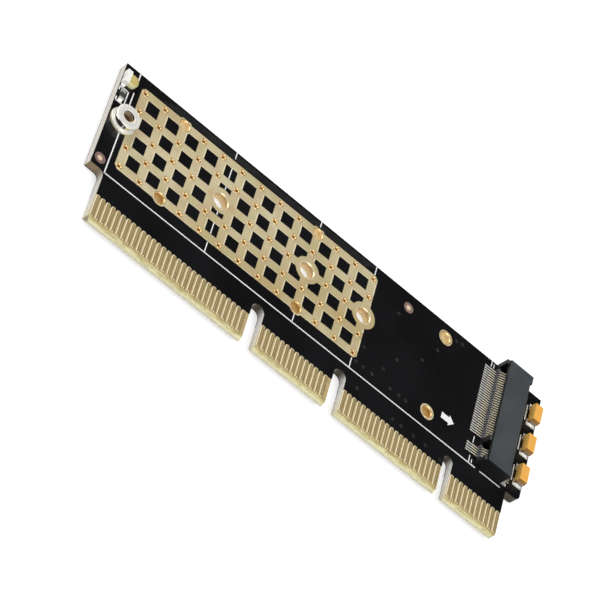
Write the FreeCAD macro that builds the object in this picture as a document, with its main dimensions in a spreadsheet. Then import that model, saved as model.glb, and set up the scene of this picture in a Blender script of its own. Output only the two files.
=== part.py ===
"""Adapter card: a board with a long edge connector, which carries a small solid-state drive module.

The card lies flat on its back, component side up. X runs along the card from the drive's post to its
socket, Y runs from the edge connector to the top edge, and Z is up. The origin is under the middle of
the card, on the surface that it lies on. Sizes are in millimetres and are kept in the sheet "Sizes".
"""
import FreeCAD, Part
import Sketcher
import os
import re

doc = FreeCAD.newDocument("AdapterCard")
sheet = doc.addObject("Spreadsheet::Sheet", "Sizes")
nodes = []

# Driving dimensions
SIZES = {
    # Board
    "card_length": 89.7,  # left edge to right edge
    "card_height": 31.4,  # end of the edge connector to top edge
    "board_thickness": 1.6,  # over the lacquer of both faces
    "lacquer_thickness": 0.09,  # solder lacquer on one face
    "copper_thickness": 0.05,  # plated copper on one face
    "shoulder_height": 9.7,  # end of the edge connector to the shoulders beside it
    "tongue_inset": 2.75,  # left edge to the edge connector's left side
    "tongue_length": 84.0,  # length of the edge connector
    "shoulder_fillet": 1.0,  # inner corner between left shoulder and edge connector
    "right_fillet": 0.4,  # inner corner between right shoulder and edge connector
    "corner_radius": 1.0,  # lower right corner of the board
    "tongue_chamfer": 0.6,  # corners of the edge connector's end
    "bevel_length": 0.6,  # bevel of the edge connector's end, along the board
    "bevel_depth": 0.45,  # bevel of the edge connector's end, through the board

    # Notches between the runs of contacts
    "wide_notch_width": 2.5,  # the two notches of the long slots
    "wide_notch_depth": 8.0,  # end of the edge connector to the notch's top
    "notch_a_centre": 31.75,  # from the edge connector's left side
    "notch_b_centre": 48.8,  # from the edge connector's left side
    "key_notch_width": 1.9,  # the key notch
    "key_notch_depth": 7.85,  # end of the edge connector to the key notch's top
    "key_notch_centre": 72.05,  # from the edge connector's left side

    # Edge contacts
    "contact_pitch": 1.0,  # from contact to contact
    "contact_width": 0.72,  # one contact
    "contact_length": 4.3,  # one contact
    "contact_end_gap": 0.85,  # end of the edge connector to the contacts' lower ends
    "first_contact": 0.48,  # edge connector's left side to the first contact's middle
    "run_a_count": 30,  # contacts left of the first notch
    "run_b_count": 14,  # contacts between the two wide notches
    "run_b_start": 33,  # pitches from the first contact to this run's first
    "run_c_count": 21,  # contacts between the second notch and the key notch
    "run_c_start": 50,  # pitches from the first contact to this run's first
    "run_d_count": 11,  # contacts right of the key notch
    "run_d_start": 73,  # pitches from the first contact to this run's first

    # Line of posts for the drive's end, and the heat-spreading grid on the same centre line
    "post_line": 20.67,  # end of the edge connector to the line of the posts
    "post_80_inset": 2.66,  # left edge to the post hole of the 80 mm length
    "step_80_60": 20.0,  # post hole of the 80 mm length to that of the 60 mm length
    "step_60_42": 18.0,  # post hole of the 60 mm length to that of the 42 mm length
    "step_42_30": 12.0,  # post hole of the 42 mm length to that of the 30 mm length
    "post_bore": 2.9,  # bore of a plated post hole
    "post_pad": 4.8,  # diameter of the pads round a post hole
    "plating": 0.16,  # wall of a plated hole, drawn thick
    "grid_pitch": 4.0,  # from bar to bar, both ways
    "grid_start": 2.0,  # post hole of the 80 mm length to the grid's first column
    "grid_columns": 13,  # crossings in a row
    "bar_width": 1.7,  # one bare copper bar
    "grid_corner": 0.6,  # corner radius of the copper field
    "via_radius": 0.42,  # small plated holes at the crossings
    "lobe_diameter": 2.84,  # pads of the heat sink's pin holes
    "pin_bore": 2.0,  # heat sink's pin holes
    "pin_pitch": 28.0,  # from pin hole to pin hole, along the card
    "tooling_pad": 2.0,  # diameter of the two small round pads
    "tooling_bore": 0.7,  # hole in each small round pad
    "tooling_a_inset": 1.3,  # left edge to the left one
    "tooling_a_height": 11.45,  # end of the edge connector to the left one
    "tooling_b_inset": 60.4,  # left edge to the right one
    "tooling_b_height": 28.65,  # end of the edge connector to the right one

    # Drive socket
    "socket_inset": 79.65,  # left edge to the front of the socket
    "socket_length": 21.46,  # end wall to end wall
    "socket_height": 2.85,  # board to roof
    "socket_base_depth": 5.15,  # front to back of the socket
    "end_wall": 0.8,  # thickness of the end walls
    "base_gap": 0.2,  # under the socket's base, where the lower contacts run
    "lip_height": 0.75,  # board to the lower wall of the slot
    "slot_height": 1.25,  # slot that takes the drive's edge
    "slot_depth": 4.4,  # front to back of the slot
    "roof_setback": 0.5,  # front of the socket to the roof's front edge
    "ear_drop": 0.35,  # roof down to the top of the end walls in front of it
    "mouth_flare": 0.25,  # chamfers at the slot's mouth
    "back_wall": 0.3,  # wall behind the slot
    "riser_gap": 0.4,  # gap behind the lower lip, where its contacts turn up
    "riser_gap_start": 3.7,  # front of the socket to that gap
    "key_offset": 6.125,  # socket's centre line to its key
    "key_width": 1.0,  # key in the slot
    "ear_width": 1.6,  # rear corner blocks, along the socket
    "ear_depth": 0.35,  # rear corner blocks, behind the roof
    "peg_offset": 9.95,  # socket's centre line to each locating peg
    "peg_inset": 2.6,  # front of the socket to the pegs
    "peg_big": 1.0,  # diameter of one peg
    "peg_small": 0.8,  # diameter of the other peg
    "peg_length": 1.2,  # peg below the socket's base
    "peg_clearance": 0.05,  # round each peg in its hole

    # Socket contacts
    "pin_step": 0.5,  # from contact to contact in a row
    "strip": 0.12,  # thickness of a contact
    "strip_width": 0.22,  # width of a contact
    "foot_length": 1.2,  # contact's foot in front of or behind the socket
    "pad_length": 1.8,  # solder pad under the contacts' feet
    "pad_width": 0.3,  # solder pad under one foot
    "pad_margin": 0.12,  # lacquer opening round a row of pads
    "lower_first": 9.0,  # socket's centre line to the lower row's outermost contact
    "upper_first": 9.25,  # socket's centre line to the upper row's outermost contact
    "long_group": 29,  # contacts on the long side of the key
    "lower_short_group": 4,  # lower contacts on the short side of the key
    "upper_short_group": 5,  # upper contacts on the short side of the key
    "group_margin": 0.25,  # room past the outermost contacts in the socket
    "beam_lift": 0.1,  # lower contact's beam above the lip
    "beam_drop": 0.1,  # upper contact's beam below the roof
    "bump": 0.22,  # rise of the bend that touches the drive
    "tab_width": 0.8,  # hold-down tab, along the socket
    "tab_foot": 1.1,  # hold-down tab on the board
    "tab_rise": 0.9,  # hold-down tab up the socket's rear corner
    "tab_thickness": 0.15,  # sheet of the hold-down tabs

    # Post nut and its screw
    "nut_flange": 4.6,  # diameter of the nut's foot
    "nut_flange_height": 0.3,  # height of the foot
    "nut_waist": 3.8,  # diameter of the nut between foot and top
    "nut_top": 4.3,  # diameter of the nut's top
    "nut_top_height": 0.35,  # height of the top's rim
    "nut_height": 1.59,  # board to the seat of the drive
    "nut_shank": 2.7,  # diameter of the nut in the post hole
    "nut_shank_length": 1.2,  # nut below its foot
    "nut_bore": 2.0,  # threaded bore of the nut
    "nut_edge": 0.12,  # chamfer of the nut's rims and bore
    "screw_shank": 1.94,  # diameter of the screw's shank
    "screw_length": 2.2,  # screw under its head
    "screw_head": 3.8,  # diameter of the screw's head
    "screw_head_height": 0.55,  # height of the screw's head
    "screw_head_edge": 0.15,  # chamfer of the screw's head
    "recess_span": 2.2,  # cross recess, tip to tip
    "recess_width": 0.5,  # one arm of the cross recess
    "recess_depth": 0.35,  # depth of the cross recess

    # Capacitors
    "capacitor_inset": 1.05,  # right edge to the capacitors' middle
    "capacitor_line": 20.55,  # end of the edge connector to the middle capacitor
    "capacitor_pitch": 6.45,  # from capacitor to capacitor
    "capacitor_length": 3.4,  # moulded body, end to end
    "capacitor_width": 1.7,  # moulded body, side to side
    "capacitor_height": 1.5,  # board to the top of the body
    "capacitor_lift": 0.12,  # under the body
    "capacitor_draft": 6.0,  # slope of the moulded sides, in degrees
    "lead_width": 1.2,  # folded terminal
    "lead_sheet": 0.12,  # sheet of the terminal
    "lead_fold": 0.8,  # terminal under the body
    "lead_rise": 0.75,  # terminal up the body's end
    "capacitor_pad_length": 1.35,  # solder pad, along the capacitor
    "capacitor_pad_width": 1.9,  # solder pad, across the capacitor
    "capacitor_pad_reach": 0.55,  # pad beyond the body's end

    # Power light and its resistor
    "light_inset": 0.55,  # left edge to the light's middle
    "light_line": 28.3,  # end of the edge connector to the light's middle
    "light_base_width": 0.9,  # base, along the card
    "light_base_length": 2.5,  # base, across the card
    "light_base_height": 1.0,  # board to the top of the base
    "light_groove": 0.3,  # groove in the middle of the base's outer side
    "lens_width": 2.1,  # lens, across the card
    "lens_corner": 1.0,  # rounded end of the lens, seen from above
    "lens_reach": 1.65,  # lens beyond the base
    "lens_height": 0.9,  # height of the lens
    "lens_round": 0.25,  # rounding of the lens's top edge
    "light_pad_length": 0.7,  # solder pad under each end of the base
    "resistor_inset": 0.95,  # left edge to the resistor's middle
    "resistor_line": 24.75,  # end of the edge connector to the resistor's middle
    "resistor_length": 1.6,  # over its end caps
    "resistor_width": 0.8,  # side to side
    "resistor_height": 0.45,  # board to its top
    "resistor_cap": 0.3,  # length of an end cap
    "resistor_pad_reach": 0.45,  # pad beyond the end cap
}
for line, (alias, number) in enumerate(SIZES.items(), 1):
    sheet.set("A%d" % line, alias)
    sheet.set("B%d" % line, str(number))
    sheet.setAlias("B%d" % line, alias)
doc.recompute()

# Places that more than one piece is built from
LEFT = "(-card_length / 2)"
RIGHT = "(card_length / 2)"
BOTTOM = "(-card_height / 2)"
TOP = "(card_height / 2)"
TONGUE_LEFT = "(-card_length / 2 + tongue_inset)"
TONGUE_RIGHT = "(-card_length / 2 + tongue_inset + tongue_length)"
SHOULDER = "(-card_height / 2 + shoulder_height)"
PAD_RECESS = "(lacquer_thickness - copper_thickness)"
BACK = "(screw_head_height - lacquer_thickness + copper_thickness)"
FRONT = "(%s + board_thickness)" % BACK
CORE_BACK = "(%s + lacquer_thickness)" % BACK
CORE_FRONT = "(%s - lacquer_thickness)" % FRONT
COPPER_TOP = "(%s + copper_thickness)" % CORE_FRONT
COPPER_BACK = "(%s - copper_thickness)" % CORE_BACK
LACQUER_EDGE = "(%s + contact_end_gap + contact_length)" % BOTTOM
POST_Y = "(%s + post_line)" % BOTTOM
POST_80 = "(%s + post_80_inset)" % LEFT
POST_60 = "(%s + step_80_60)" % POST_80
POST_42 = "(%s + step_60_42)" % POST_60
POST_30 = "(%s + step_42_30)" % POST_42
POSTS = {"80": POST_80, "60": POST_60, "42": POST_42, "30": POST_30}
GRID_X = "(%s + grid_start)" % POST_80
GRID_Y = "(%s - 2 * grid_pitch)" % POST_Y
GRID_END = "(%s + (grid_columns - 1) * grid_pitch)" % GRID_X
PIN_LOW = GRID_Y
PIN_HIGH = "(%s + 4 * grid_pitch)" % GRID_Y
PIN_FIRST = "(%s + 2 * grid_pitch)" % GRID_X
TOOLING = {
    "a": ("(%s + tooling_a_inset)" % LEFT, "(%s + tooling_a_height)" % BOTTOM),
    "b": ("(%s + tooling_b_inset)" % LEFT, "(%s + tooling_b_height)" % BOTTOM),
}
SOCKET_X = "(%s + socket_inset)" % LEFT
SOCKET_BACK = "(%s + socket_base_depth)" % SOCKET_X
SLOT_END = "(%s + slot_depth)" % SOCKET_X
PEG_X = "(%s + peg_inset)" % SOCKET_X
PEGS = ((1, "peg_big"), (-1, "peg_small"))


def full(expression):
    """Puts the sheet's name before each of its aliases in an expression."""
    return re.sub(r"[a-z_]\w*", lambda m: "Sizes." + m.group() if m.group() in SIZES else m.group(),
                  str(expression))


def value(expression):
    """Works out an expression of sheet names as a number."""
    return float(sheet.evalExpression(full(expression)))


def bind(thing, prop, expression):
    """Ties one property of an object to the sheet."""
    thing.setExpression(prop, full(expression))


def body(label):
    """Starts a piece of its own: its label names the file that it is written to."""
    piece = doc.addObject("PartDesign::Body", label)
    piece.Label = label
    piece.AllowCompound = True
    nodes.append(piece)
    return piece


def origin_part(piece, role):
    """One of a body's own origin planes or axes."""
    return [feature for feature in piece.Origin.OriginFeatures if feature.Role == role][0]


def sketch(piece, name, role="XY_Plane", offset="0"):
    """An empty sketch on one of the body's origin planes, moved along that plane's normal."""
    drawing = piece.newObject("Sketcher::SketchObject", name)
    drawing.AttachmentSupport = [(origin_part(piece, role), "")]
    drawing.MapMode = "FlatFace"
    bind(drawing, "AttachmentOffset.Base.z", offset)
    return drawing


def fix_point(drawing, geometry, point, x, y):
    """Holds a point of a sketch at expressions measured from the sketch's origin."""
    for kind, expression in (("DistanceX", x), ("DistanceY", y)):
        constraint = Sketcher.Constraint(kind, -1, 1, geometry, point, value(expression))
        index = drawing.addConstraint(constraint)
        bind(drawing, "Constraints[%d]" % index, expression)


def polygon(drawing, corners):
    """A closed outline of straight lines through corners given as pairs of expressions."""
    places = [FreeCAD.Vector(value(x), value(y), 0) for x, y in corners]
    first = drawing.GeometryCount
    count = len(corners)
    for index in range(count):
        line = Part.LineSegment(places[index], places[(index + 1) % count])
        drawing.addGeometry(line, False)
    for index in range(count):
        following = first + (index + 1) % count
        drawing.addConstraint(Sketcher.Constraint("Coincident", first + index, 2, following, 1))
        fix_point(drawing, first + index, 1, *corners[index])


def circle(drawing, x, y, radius):
    """A circle at expressions for its centre and radius."""
    centre = FreeCAD.Vector(value(x), value(y), 0)
    index = drawing.addGeometry(Part.Circle(centre, FreeCAD.Vector(0, 0, 1), value(radius)), False)
    fix_point(drawing, index, 3, x, y)
    constraint = drawing.addConstraint(Sketcher.Constraint("Radius", index, value(radius)))
    bind(drawing, "Constraints[%d]" % constraint, radius)


def pad(piece, name, drawing, length, symmetric=False):
    """Adds the sketch's outline to the body, along the sketch's normal or to both sides of it."""
    feature = piece.newObject("PartDesign::Pad", name)
    feature.Profile = drawing
    if symmetric:
        feature.SideType = "Symmetric"
    bind(feature, "Length", length)
    return feature


def pocket(piece, name, drawing, length):
    """Cuts the sketch's outline from the body, half of the length to each side of the sketch."""
    feature = piece.newObject("PartDesign::Pocket", name)
    feature.Profile = drawing
    feature.SideType = "Symmetric"
    bind(feature, "Length", length)
    return feature


def primitive(piece, kind, name, x, y, z, **sizes):
    """Adds or cuts a simple solid whose base stands at x, y, z."""
    feature = piece.newObject("PartDesign::" + kind, name)
    feature.AttachmentSupport = [(origin_part(piece, "XY_Plane"), "")]
    feature.MapMode = "FlatFace"
    for axis, expression in zip("xyz", (x, y, z)):
        bind(feature, "AttachmentOffset.Base.%s" % axis, expression)
    for prop, expression in sizes.items():
        bind(feature, prop, expression)
    return feature


def box(piece, name, x, y, z, length, width, height, cut=False):
    """A box whose middle is at x, y and whose underside is at z."""
    kind = "SubtractiveBox" if cut else "AdditiveBox"
    return primitive(piece, kind, name, "%s - (%s) / 2" % (x, length), "%s - (%s) / 2" % (y, width), z,
                     Length=length, Width=width, Height=height)


def disc(piece, name, x, y, z, radius, height, cut=False):
    """A cylinder whose underside is at z."""
    kind = "SubtractiveCylinder" if cut else "AdditiveCylinder"
    return primitive(piece, kind, name, x, y, z, Radius=radius, Height=height)


def row(piece, name, feature, pitch, count, role="X_Axis"):
    """Repeats a feature along an origin axis."""
    pattern = piece.newObject("PartDesign::LinearPattern", name)
    pattern.Originals = [feature]
    pattern.Direction = (origin_part(piece, role), [""])
    pattern.Mode = "Spacing"
    bind(pattern, "Offset", pitch)
    bind(pattern, "Occurrences", count)
    piece.Tip = pattern
    return pattern


def grid(piece, name, feature, columns, rows, pitch="grid_pitch"):
    """Repeats a feature along X and then along Y."""
    pattern = piece.newObject("PartDesign::MultiTransform", name)
    pattern.Originals = [feature]
    steps = []
    for role, count in (("X_Axis", columns), ("Y_Axis", rows)):
        step = piece.newObject("PartDesign::LinearPattern", name + "_" + role[0])
        step.Direction = (origin_part(piece, role), [""])
        step.Mode = "Spacing"
        bind(step, "Offset", pitch)
        bind(step, "Occurrences", count)
        steps.append(step)
    pattern.Transformations = steps
    piece.Tip = pattern
    return pattern


def upright_edges(piece, corners):
    """Names of the body's vertical edges that stand at the given corners."""
    doc.recompute()
    found = []
    wanted = [(value(x), value(y)) for x, y in corners]
    for index, edge in enumerate(piece.Tip.Shape.Edges):
        ends = [vertex.Point for vertex in edge.Vertexes]
        if len(ends) != 2 or abs(ends[0].x - ends[1].x) > 1e-6 or abs(ends[0].y - ends[1].y) > 1e-6:
            continue
        if any(abs(ends[0].x - x) < 1e-4 and abs(ends[0].y - y) < 1e-4 for x, y in wanted):
            found.append("Edge%d" % (index + 1))
    return found


def soften(piece, kind, name, corners, prop, expression):
    """Fillets or chamfers the vertical edges at the given corners."""
    base = piece.Tip
    edges = upright_edges(piece, corners)
    feature = piece.newObject("PartDesign::" + kind, name)
    feature.Base = (base, edges)
    bind(feature, prop, expression)
    return feature


def notches():
    """The three notches of the edge connector: middle, width and depth."""
    return [
        ("(%s + notch_a_centre)" % TONGUE_LEFT, "wide_notch_width", "wide_notch_depth"),
        ("(%s + notch_b_centre)" % TONGUE_LEFT, "wide_notch_width", "wide_notch_depth"),
        ("(%s + key_notch_centre)" % TONGUE_LEFT, "key_notch_width", "key_notch_depth"),
    ]


def board_layer(label, low, z, thickness):
    """A layer with the board's outline and notches: the edge connector's end is at low."""
    piece = body(label)
    drawing = sketch(piece, "outline", offset=z)
    polygon(drawing, [
        (LEFT, SHOULDER), (TONGUE_LEFT, SHOULDER), (TONGUE_LEFT, low), (TONGUE_RIGHT, low),
        (TONGUE_RIGHT, SHOULDER), (RIGHT, SHOULDER), (RIGHT, TOP), (LEFT, TOP),
    ])
    pad(piece, "layer", drawing, thickness)
    soften(piece, "Fillet", "left_fillet", [(TONGUE_LEFT, SHOULDER)], "Radius", "shoulder_fillet")
    soften(piece, "Fillet", "right_fillet", [(TONGUE_RIGHT, SHOULDER)], "Radius", "right_fillet")
    soften(piece, "Fillet", "corner", [(RIGHT, SHOULDER)], "Radius", "corner_radius")
    slots = sketch(piece, "notch_sides", offset=z)
    for x, width, depth in notches():
        polygon(slots, rectangle("(%s - %s / 2)" % (x, width), "(%s - 1)" % BOTTOM,
                                 "(%s + %s / 2)" % (x, width),
                                 "(%s + %s - %s / 2)" % (BOTTOM, depth, width)))
    pocket(piece, "notches", slots, "2 * " + thickness)
    return piece


def drill(piece, name, z, height, holes):
    """Drills round holes given as x, y and diameter, all with one sketch."""
    drawing = sketch(piece, name + "_plan", offset=z)
    for x, y, diameter in holes:
        circle(drawing, x, y, "(%s) / 2" % diameter)
    pocket(piece, name, drawing, "2 * " + height)


def drill_layer(piece, z, height, post, pin, others):
    """Drills a board layer's notch tops and round holes, with the diameters that the layer needs."""
    holes = [(x, "(%s + %s - %s / 2)" % (BOTTOM, depth, width), width) for x, width, depth in notches()]
    holes += [(x, POST_Y, post) for x in POSTS.values()]
    drill(piece, "holes", z, height, holes + pin_holes(pin, 3) + others)


def peg_holes():
    """The holes of the socket's locating pegs."""
    return [(PEG_X, "(%s + (%d) * peg_offset)" % (POST_Y, side), "(%s + 2 * peg_clearance)" % peg)
            for side, peg in PEGS]


def tooling_bores(piece, z, height):
    """Cuts the two small tooling holes, as octagons like the vias."""
    for name, (x, y) in TOOLING.items():
        bore = primitive(piece, "SubtractivePrism", "tooling_bore_" + name, x, y, z,
                         Circumradius="tooling_bore / 2", Height=height)
        bore.Polygon = 8


def pin_holes(diameter, columns):
    """The heat sink's pin holes: two to a column."""
    return [("(%s + %d * pin_pitch)" % (PIN_FIRST, column), y, diameter)
            for column in range(columns) for y in (PIN_LOW, PIN_HIGH)]


def make_via_drill():
    """The tool that drills the vias at the grid's crossings; the middle row skips the post holes."""
    tool = body("via_drill")
    nodes.remove(tool)
    runs = {"low": (0, 0, "grid_columns", 2), "high": (0, 3, "grid_columns", 2),
            "mid_a": (0, 2, "4", 1), "mid_b": (6, 2, "3", 1), "mid_c": (10, 2, "2", 1)}
    for name, (column, line, columns, rows) in runs.items():
        via = primitive(tool, "AdditivePrism", "via_" + name,
                        "%s + %d * grid_pitch" % (GRID_X, column),
                        "%s + %d * grid_pitch" % (GRID_Y, line), "0",
                        Circumradius="via_radius", Height="2 * " + FRONT)
        via.Polygon = 8
        if rows == 1:
            row(tool, "vias_" + name, via, "grid_pitch", columns)
        else:
            grid(tool, "vias_" + name, via, columns, rows)
    return tool


def drilled(piece, tool):
    """The piece with the vias drilled through it, under the piece's own label."""
    label = piece.Label
    piece.Label = label + "_blank"
    result = doc.addObject("Part::Cut", label + "_drilled")
    result.Base = piece
    result.Tool = tool
    result.Label = label
    nodes[nodes.index(piece)] = result


def make_laminate(tool):
    """The glass-fibre board with its edge connector's bevels, notches and every drilled hole."""
    thickness = "(board_thickness - 2 * lacquer_thickness)"
    piece = board_layer("board_laminate", BOTTOM, CORE_BACK, thickness)
    ends = [(TONGUE_LEFT, BOTTOM), (TONGUE_RIGHT, BOTTOM)]
    soften(piece, "Chamfer", "tongue_corners", ends, "Size", "tongue_chamfer")
    bevel = sketch(piece, "bevel_wedges", "YZ_Plane")
    for side, face in ((1, CORE_FRONT), (-1, CORE_BACK)):
        polygon(bevel, [(BOTTOM, face), ("%s + bevel_length" % BOTTOM, face),
                        (BOTTOM, "%s - (%d) * bevel_depth" % (face, side))])
    pocket(piece, "bevels", bevel, "2 * card_length")
    drill_layer(piece, CORE_BACK, thickness, "post_bore + 2 * plating", "pin_bore", peg_holes())
    tooling_bores(piece, CORE_BACK, thickness)
    drilled(piece, tool)


def open_footprints(piece):
    """Opens the front lacquer over the pads of the soldered pieces."""
    drawing = sketch(piece, "footprints", offset=CORE_FRONT)
    for x, y, length, width in pad_openings():
        polygon(drawing, rectangle("(%s - %s / 2)" % (x, length), "(%s - %s / 2)" % (y, width),
                                   "(%s + %s / 2)" % (x, length), "(%s + %s / 2)" % (y, width)))
    pocket(piece, "footprint_openings", drawing, "2 * lacquer_thickness")


def pad_rows():
    """Rows of pads under the socket's contacts: name, middle of the pads, first pad and count."""
    front = "(%s - pad_length / 2)" % SOCKET_X
    rear = "(%s + ear_depth + pad_length / 2)" % SOCKET_BACK
    short_lower = "(%s - lower_first)" % POST_Y
    short_upper = "(%s - upper_first)" % POST_Y
    long_lower = "(%s + lower_first - (long_group - 1) * pin_step)" % POST_Y
    long_upper = "(%s + upper_first - (long_group - 1) * pin_step)" % POST_Y
    return [
        ("lower_long", front, long_lower, "long_group"),
        ("lower_short", front, short_lower, "lower_short_group"),
        ("upper_long", rear, long_upper, "long_group"),
        ("upper_short", rear, short_upper, "upper_short_group"),
    ]


def small_pads():
    """Single pads of the small pieces: name, middle and size."""
    pads = []
    pad_x = "(%s - capacitor_inset)" % RIGHT
    reach = "(capacitor_length / 2 + capacitor_pad_reach - capacitor_pad_length / 2)"
    for index, step in enumerate((-1, 0, 1)):
        for end in (-1, 1):
            y = "(%s + capacitor_line + (%d) * capacitor_pitch + (%d) * %s)" % (BOTTOM, step, end, reach)
            name = "capacitor_%d_%s" % (index + 1, "far" if end > 0 else "near")
            pads.append((name, pad_x, y, "capacitor_pad_width", "capacitor_pad_length"))
    for end, word in ((-1, "near"), (1, "far")):
        y = "(%s + light_line + (%d) * (light_base_length - light_pad_length) / 2)" % (BOTTOM, end)
        pads.append(("light_" + word, "(%s + light_inset)" % LEFT, y, "light_base_width",
                     "light_pad_length"))
        y = "(%s + resistor_line + (%d) * (resistor_length + resistor_pad_reach) / 2)" % (BOTTOM, end)
        pads.append(("resistor_" + word, "(%s + resistor_inset)" % LEFT, y, "resistor_width",
                     "(resistor_pad_reach + resistor_cap)"))
        y = "(%s + (%d) * (socket_length - ear_width) / 2)" % (POST_Y, end)
        pads.append(("tab_" + word, "(%s + ear_depth + tab_foot / 2)" % SOCKET_BACK, y,
                     "tab_foot", "tab_width"))
    return pads


def pad_openings():
    """Openings of the front lacquer: round each row of pads, each single pad and each locating peg."""
    openings = []
    for name, x, first, count in pad_rows():
        middle = "(%s + (%s - 1) * pin_step / 2)" % (first, count)
        width = "((%s - 1) * pin_step + pad_width + 2 * pad_margin)" % count
        openings.append((x, middle, "(pad_length + 2 * pad_margin)", width))
    openings += [(x, y, across, across) for x, y, across in peg_holes()]
    return openings + [pad_place[1:] for pad_place in small_pads()]


def make_lacquer():
    """Black solder lacquer on both faces, open over every bare pad and hole."""
    depth = "lacquer_thickness"
    back = board_layer("lacquer_back", LACQUER_EDGE, BACK, depth)
    drill_layer(back, BACK, depth, "post_pad", "pin_bore", peg_holes())
    tooling_bores(back, BACK, depth)
    front = board_layer("lacquer_front", LACQUER_EDGE, CORE_FRONT, depth)
    pocket(front, "grid_opening", grid_field(front, "grid_outline"), "2 * lacquer_thickness")
    pads = [(x, y, "tooling_pad") for x, y in TOOLING.values()]
    drill_layer(front, CORE_FRONT, depth, "post_pad", "lobe_diameter", pads)
    open_footprints(front)


def grid_field(piece, name):
    """Sketch of the copper field under the heat-spreading grid, with rounded corners."""
    drawing = sketch(piece, name, offset=CORE_FRONT)
    half = "bar_width / 2"
    x0 = "%s - %s" % (GRID_X, half)
    x1 = "%s + %s" % (GRID_END, half)
    y0 = "%s - %s" % (GRID_Y, half)
    y1 = "%s + 4 * grid_pitch + %s" % (GRID_Y, half)
    c = "grid_corner"
    polygon(drawing, [
        ("%s + %s" % (x0, c), y0), ("%s - %s" % (x1, c), y0),
        (x1, "%s + %s" % (y0, c)), (x1, "%s - %s" % (y1, c)),
        ("%s - %s" % (x1, c), y1), ("%s + %s" % (x0, c), y1),
        (x0, "%s - %s" % (y1, c)), (x0, "%s + %s" % (y0, c)),
    ])
    return drawing


def make_grid(tool):
    """The bare copper grid that spreads the drive's heat, and the lacquer squares printed on it."""
    depth = "copper_thickness"
    piece = body("heat_grid")
    pad(piece, "field", grid_field(piece, "field_outline"), depth)
    for name, x in POSTS.items():
        disc(piece, "post_pad_" + name, x, POST_Y, CORE_FRONT, "post_pad / 2", depth)
    lobe = disc(piece, "lobe", PIN_FIRST, PIN_LOW, CORE_FRONT, "lobe_diameter / 2", depth)
    lobes = grid(piece, "lobes", lobe, "2", "2", "pin_pitch")
    bind(lobes.Transformations[1], "Offset", "4 * grid_pitch")
    holes = [(x, POST_Y, "post_bore + 2 * plating") for x in POSTS.values()]
    drill(piece, "holes", CORE_FRONT, depth, holes + pin_holes("pin_bore", 2))
    drilled(piece, tool)

    squares = body("grid_squares")
    side = "(grid_pitch - bar_width)"
    square = box(squares, "square", "(%s + grid_pitch / 2)" % GRID_X, "(%s + grid_pitch / 2)" % GRID_Y,
                 COPPER_TOP, side, side, PAD_RECESS)
    grid(squares, "squares", square, "grid_columns - 1", "4")
    holes = [(x, POST_Y, "post_pad") for x in POSTS.values()]
    drill(squares, "pad_openings", COPPER_TOP, PAD_RECESS, holes + pin_holes("lobe_diameter", 2))


def make_contacts():
    """Two faces of gold contacts on the edge connector, in four runs."""
    y = "(%s + contact_end_gap + contact_length / 2)" % BOTTOM
    runs = {"a": ("0", "run_a_count"), "b": ("run_b_start", "run_b_count"),
            "c": ("run_c_start", "run_c_count"), "d": ("run_d_start", "run_d_count")}
    for face, z in (("front", CORE_FRONT), ("back", COPPER_BACK)):
        piece = body("edge_contacts_" + face)
        for name, (start, count) in runs.items():
            x = "(%s + first_contact + %s * contact_pitch)" % (TONGUE_LEFT, start)
            contact = box(piece, "contact_" + name, x, y, z, "contact_width", "contact_length",
                          "copper_thickness")
            row(piece, "run_" + name, contact, "contact_pitch", count)


def make_post_rings():
    """A plated barrel in each post hole, with its pad on the back."""
    for name, x in POSTS.items():
        piece = body("post_ring_" + name)
        disc(piece, "barrel", x, POST_Y, COPPER_BACK, "post_bore / 2 + plating",
             "board_thickness - 2 * lacquer_thickness + 2 * copper_thickness")
        disc(piece, "back_pad", x, POST_Y, COPPER_BACK, "post_pad / 2", "copper_thickness")
        disc(piece, "bore", x, POST_Y, BACK, "post_bore / 2", "board_thickness", cut=True)


def make_round_pads():
    """The two pin pads beside the socket and the two small tooling pads."""
    piece = body("pin_pads")
    for name, y in (("low", PIN_LOW), ("high", PIN_HIGH)):
        x = "(%s + 2 * pin_pitch)" % PIN_FIRST
        disc(piece, "pad_" + name, x, y, CORE_FRONT, "lobe_diameter / 2", "copper_thickness")
        disc(piece, "bore_" + name, x, y, CORE_FRONT, "pin_bore / 2", "copper_thickness", cut=True)
    piece = body("tooling_pads")
    for name, (x, y) in TOOLING.items():
        disc(piece, "pad_" + name, x, y, CORE_FRONT, "tooling_pad / 2", "copper_thickness")
    tooling_bores(piece, CORE_FRONT, "copper_thickness")


def make_solder_pads():
    """Tinned pads under the socket's contacts and under the small pieces, level with the lacquer."""
    piece = body("socket_pads")
    for name, x, first, count in pad_rows():
        one = box(piece, name, x, first, CORE_FRONT, "pad_length", "pad_width", "lacquer_thickness")
        row(piece, name + "_row", one, "pin_step", count, "Y_Axis")
    piece = body("component_pads")
    for name, x, y, length, width in small_pads():
        box(piece, name, x, y, CORE_FRONT, length, width, "lacquer_thickness")


def channel(piece, name, corners, middle, length):
    """Cuts a profile of the XZ plane from the body, along Y about its middle."""
    drawing = sketch(piece, name + "_profile", "XZ_Plane", "-(%s)" % middle)
    polygon(drawing, corners)
    pocket(piece, name, drawing, length)


def rectangle(x0, z0, x1, z1):
    """Corners of a rectangle."""
    return [(x0, z0), (x1, z0), (x1, z1), (x0, z1)]


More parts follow.
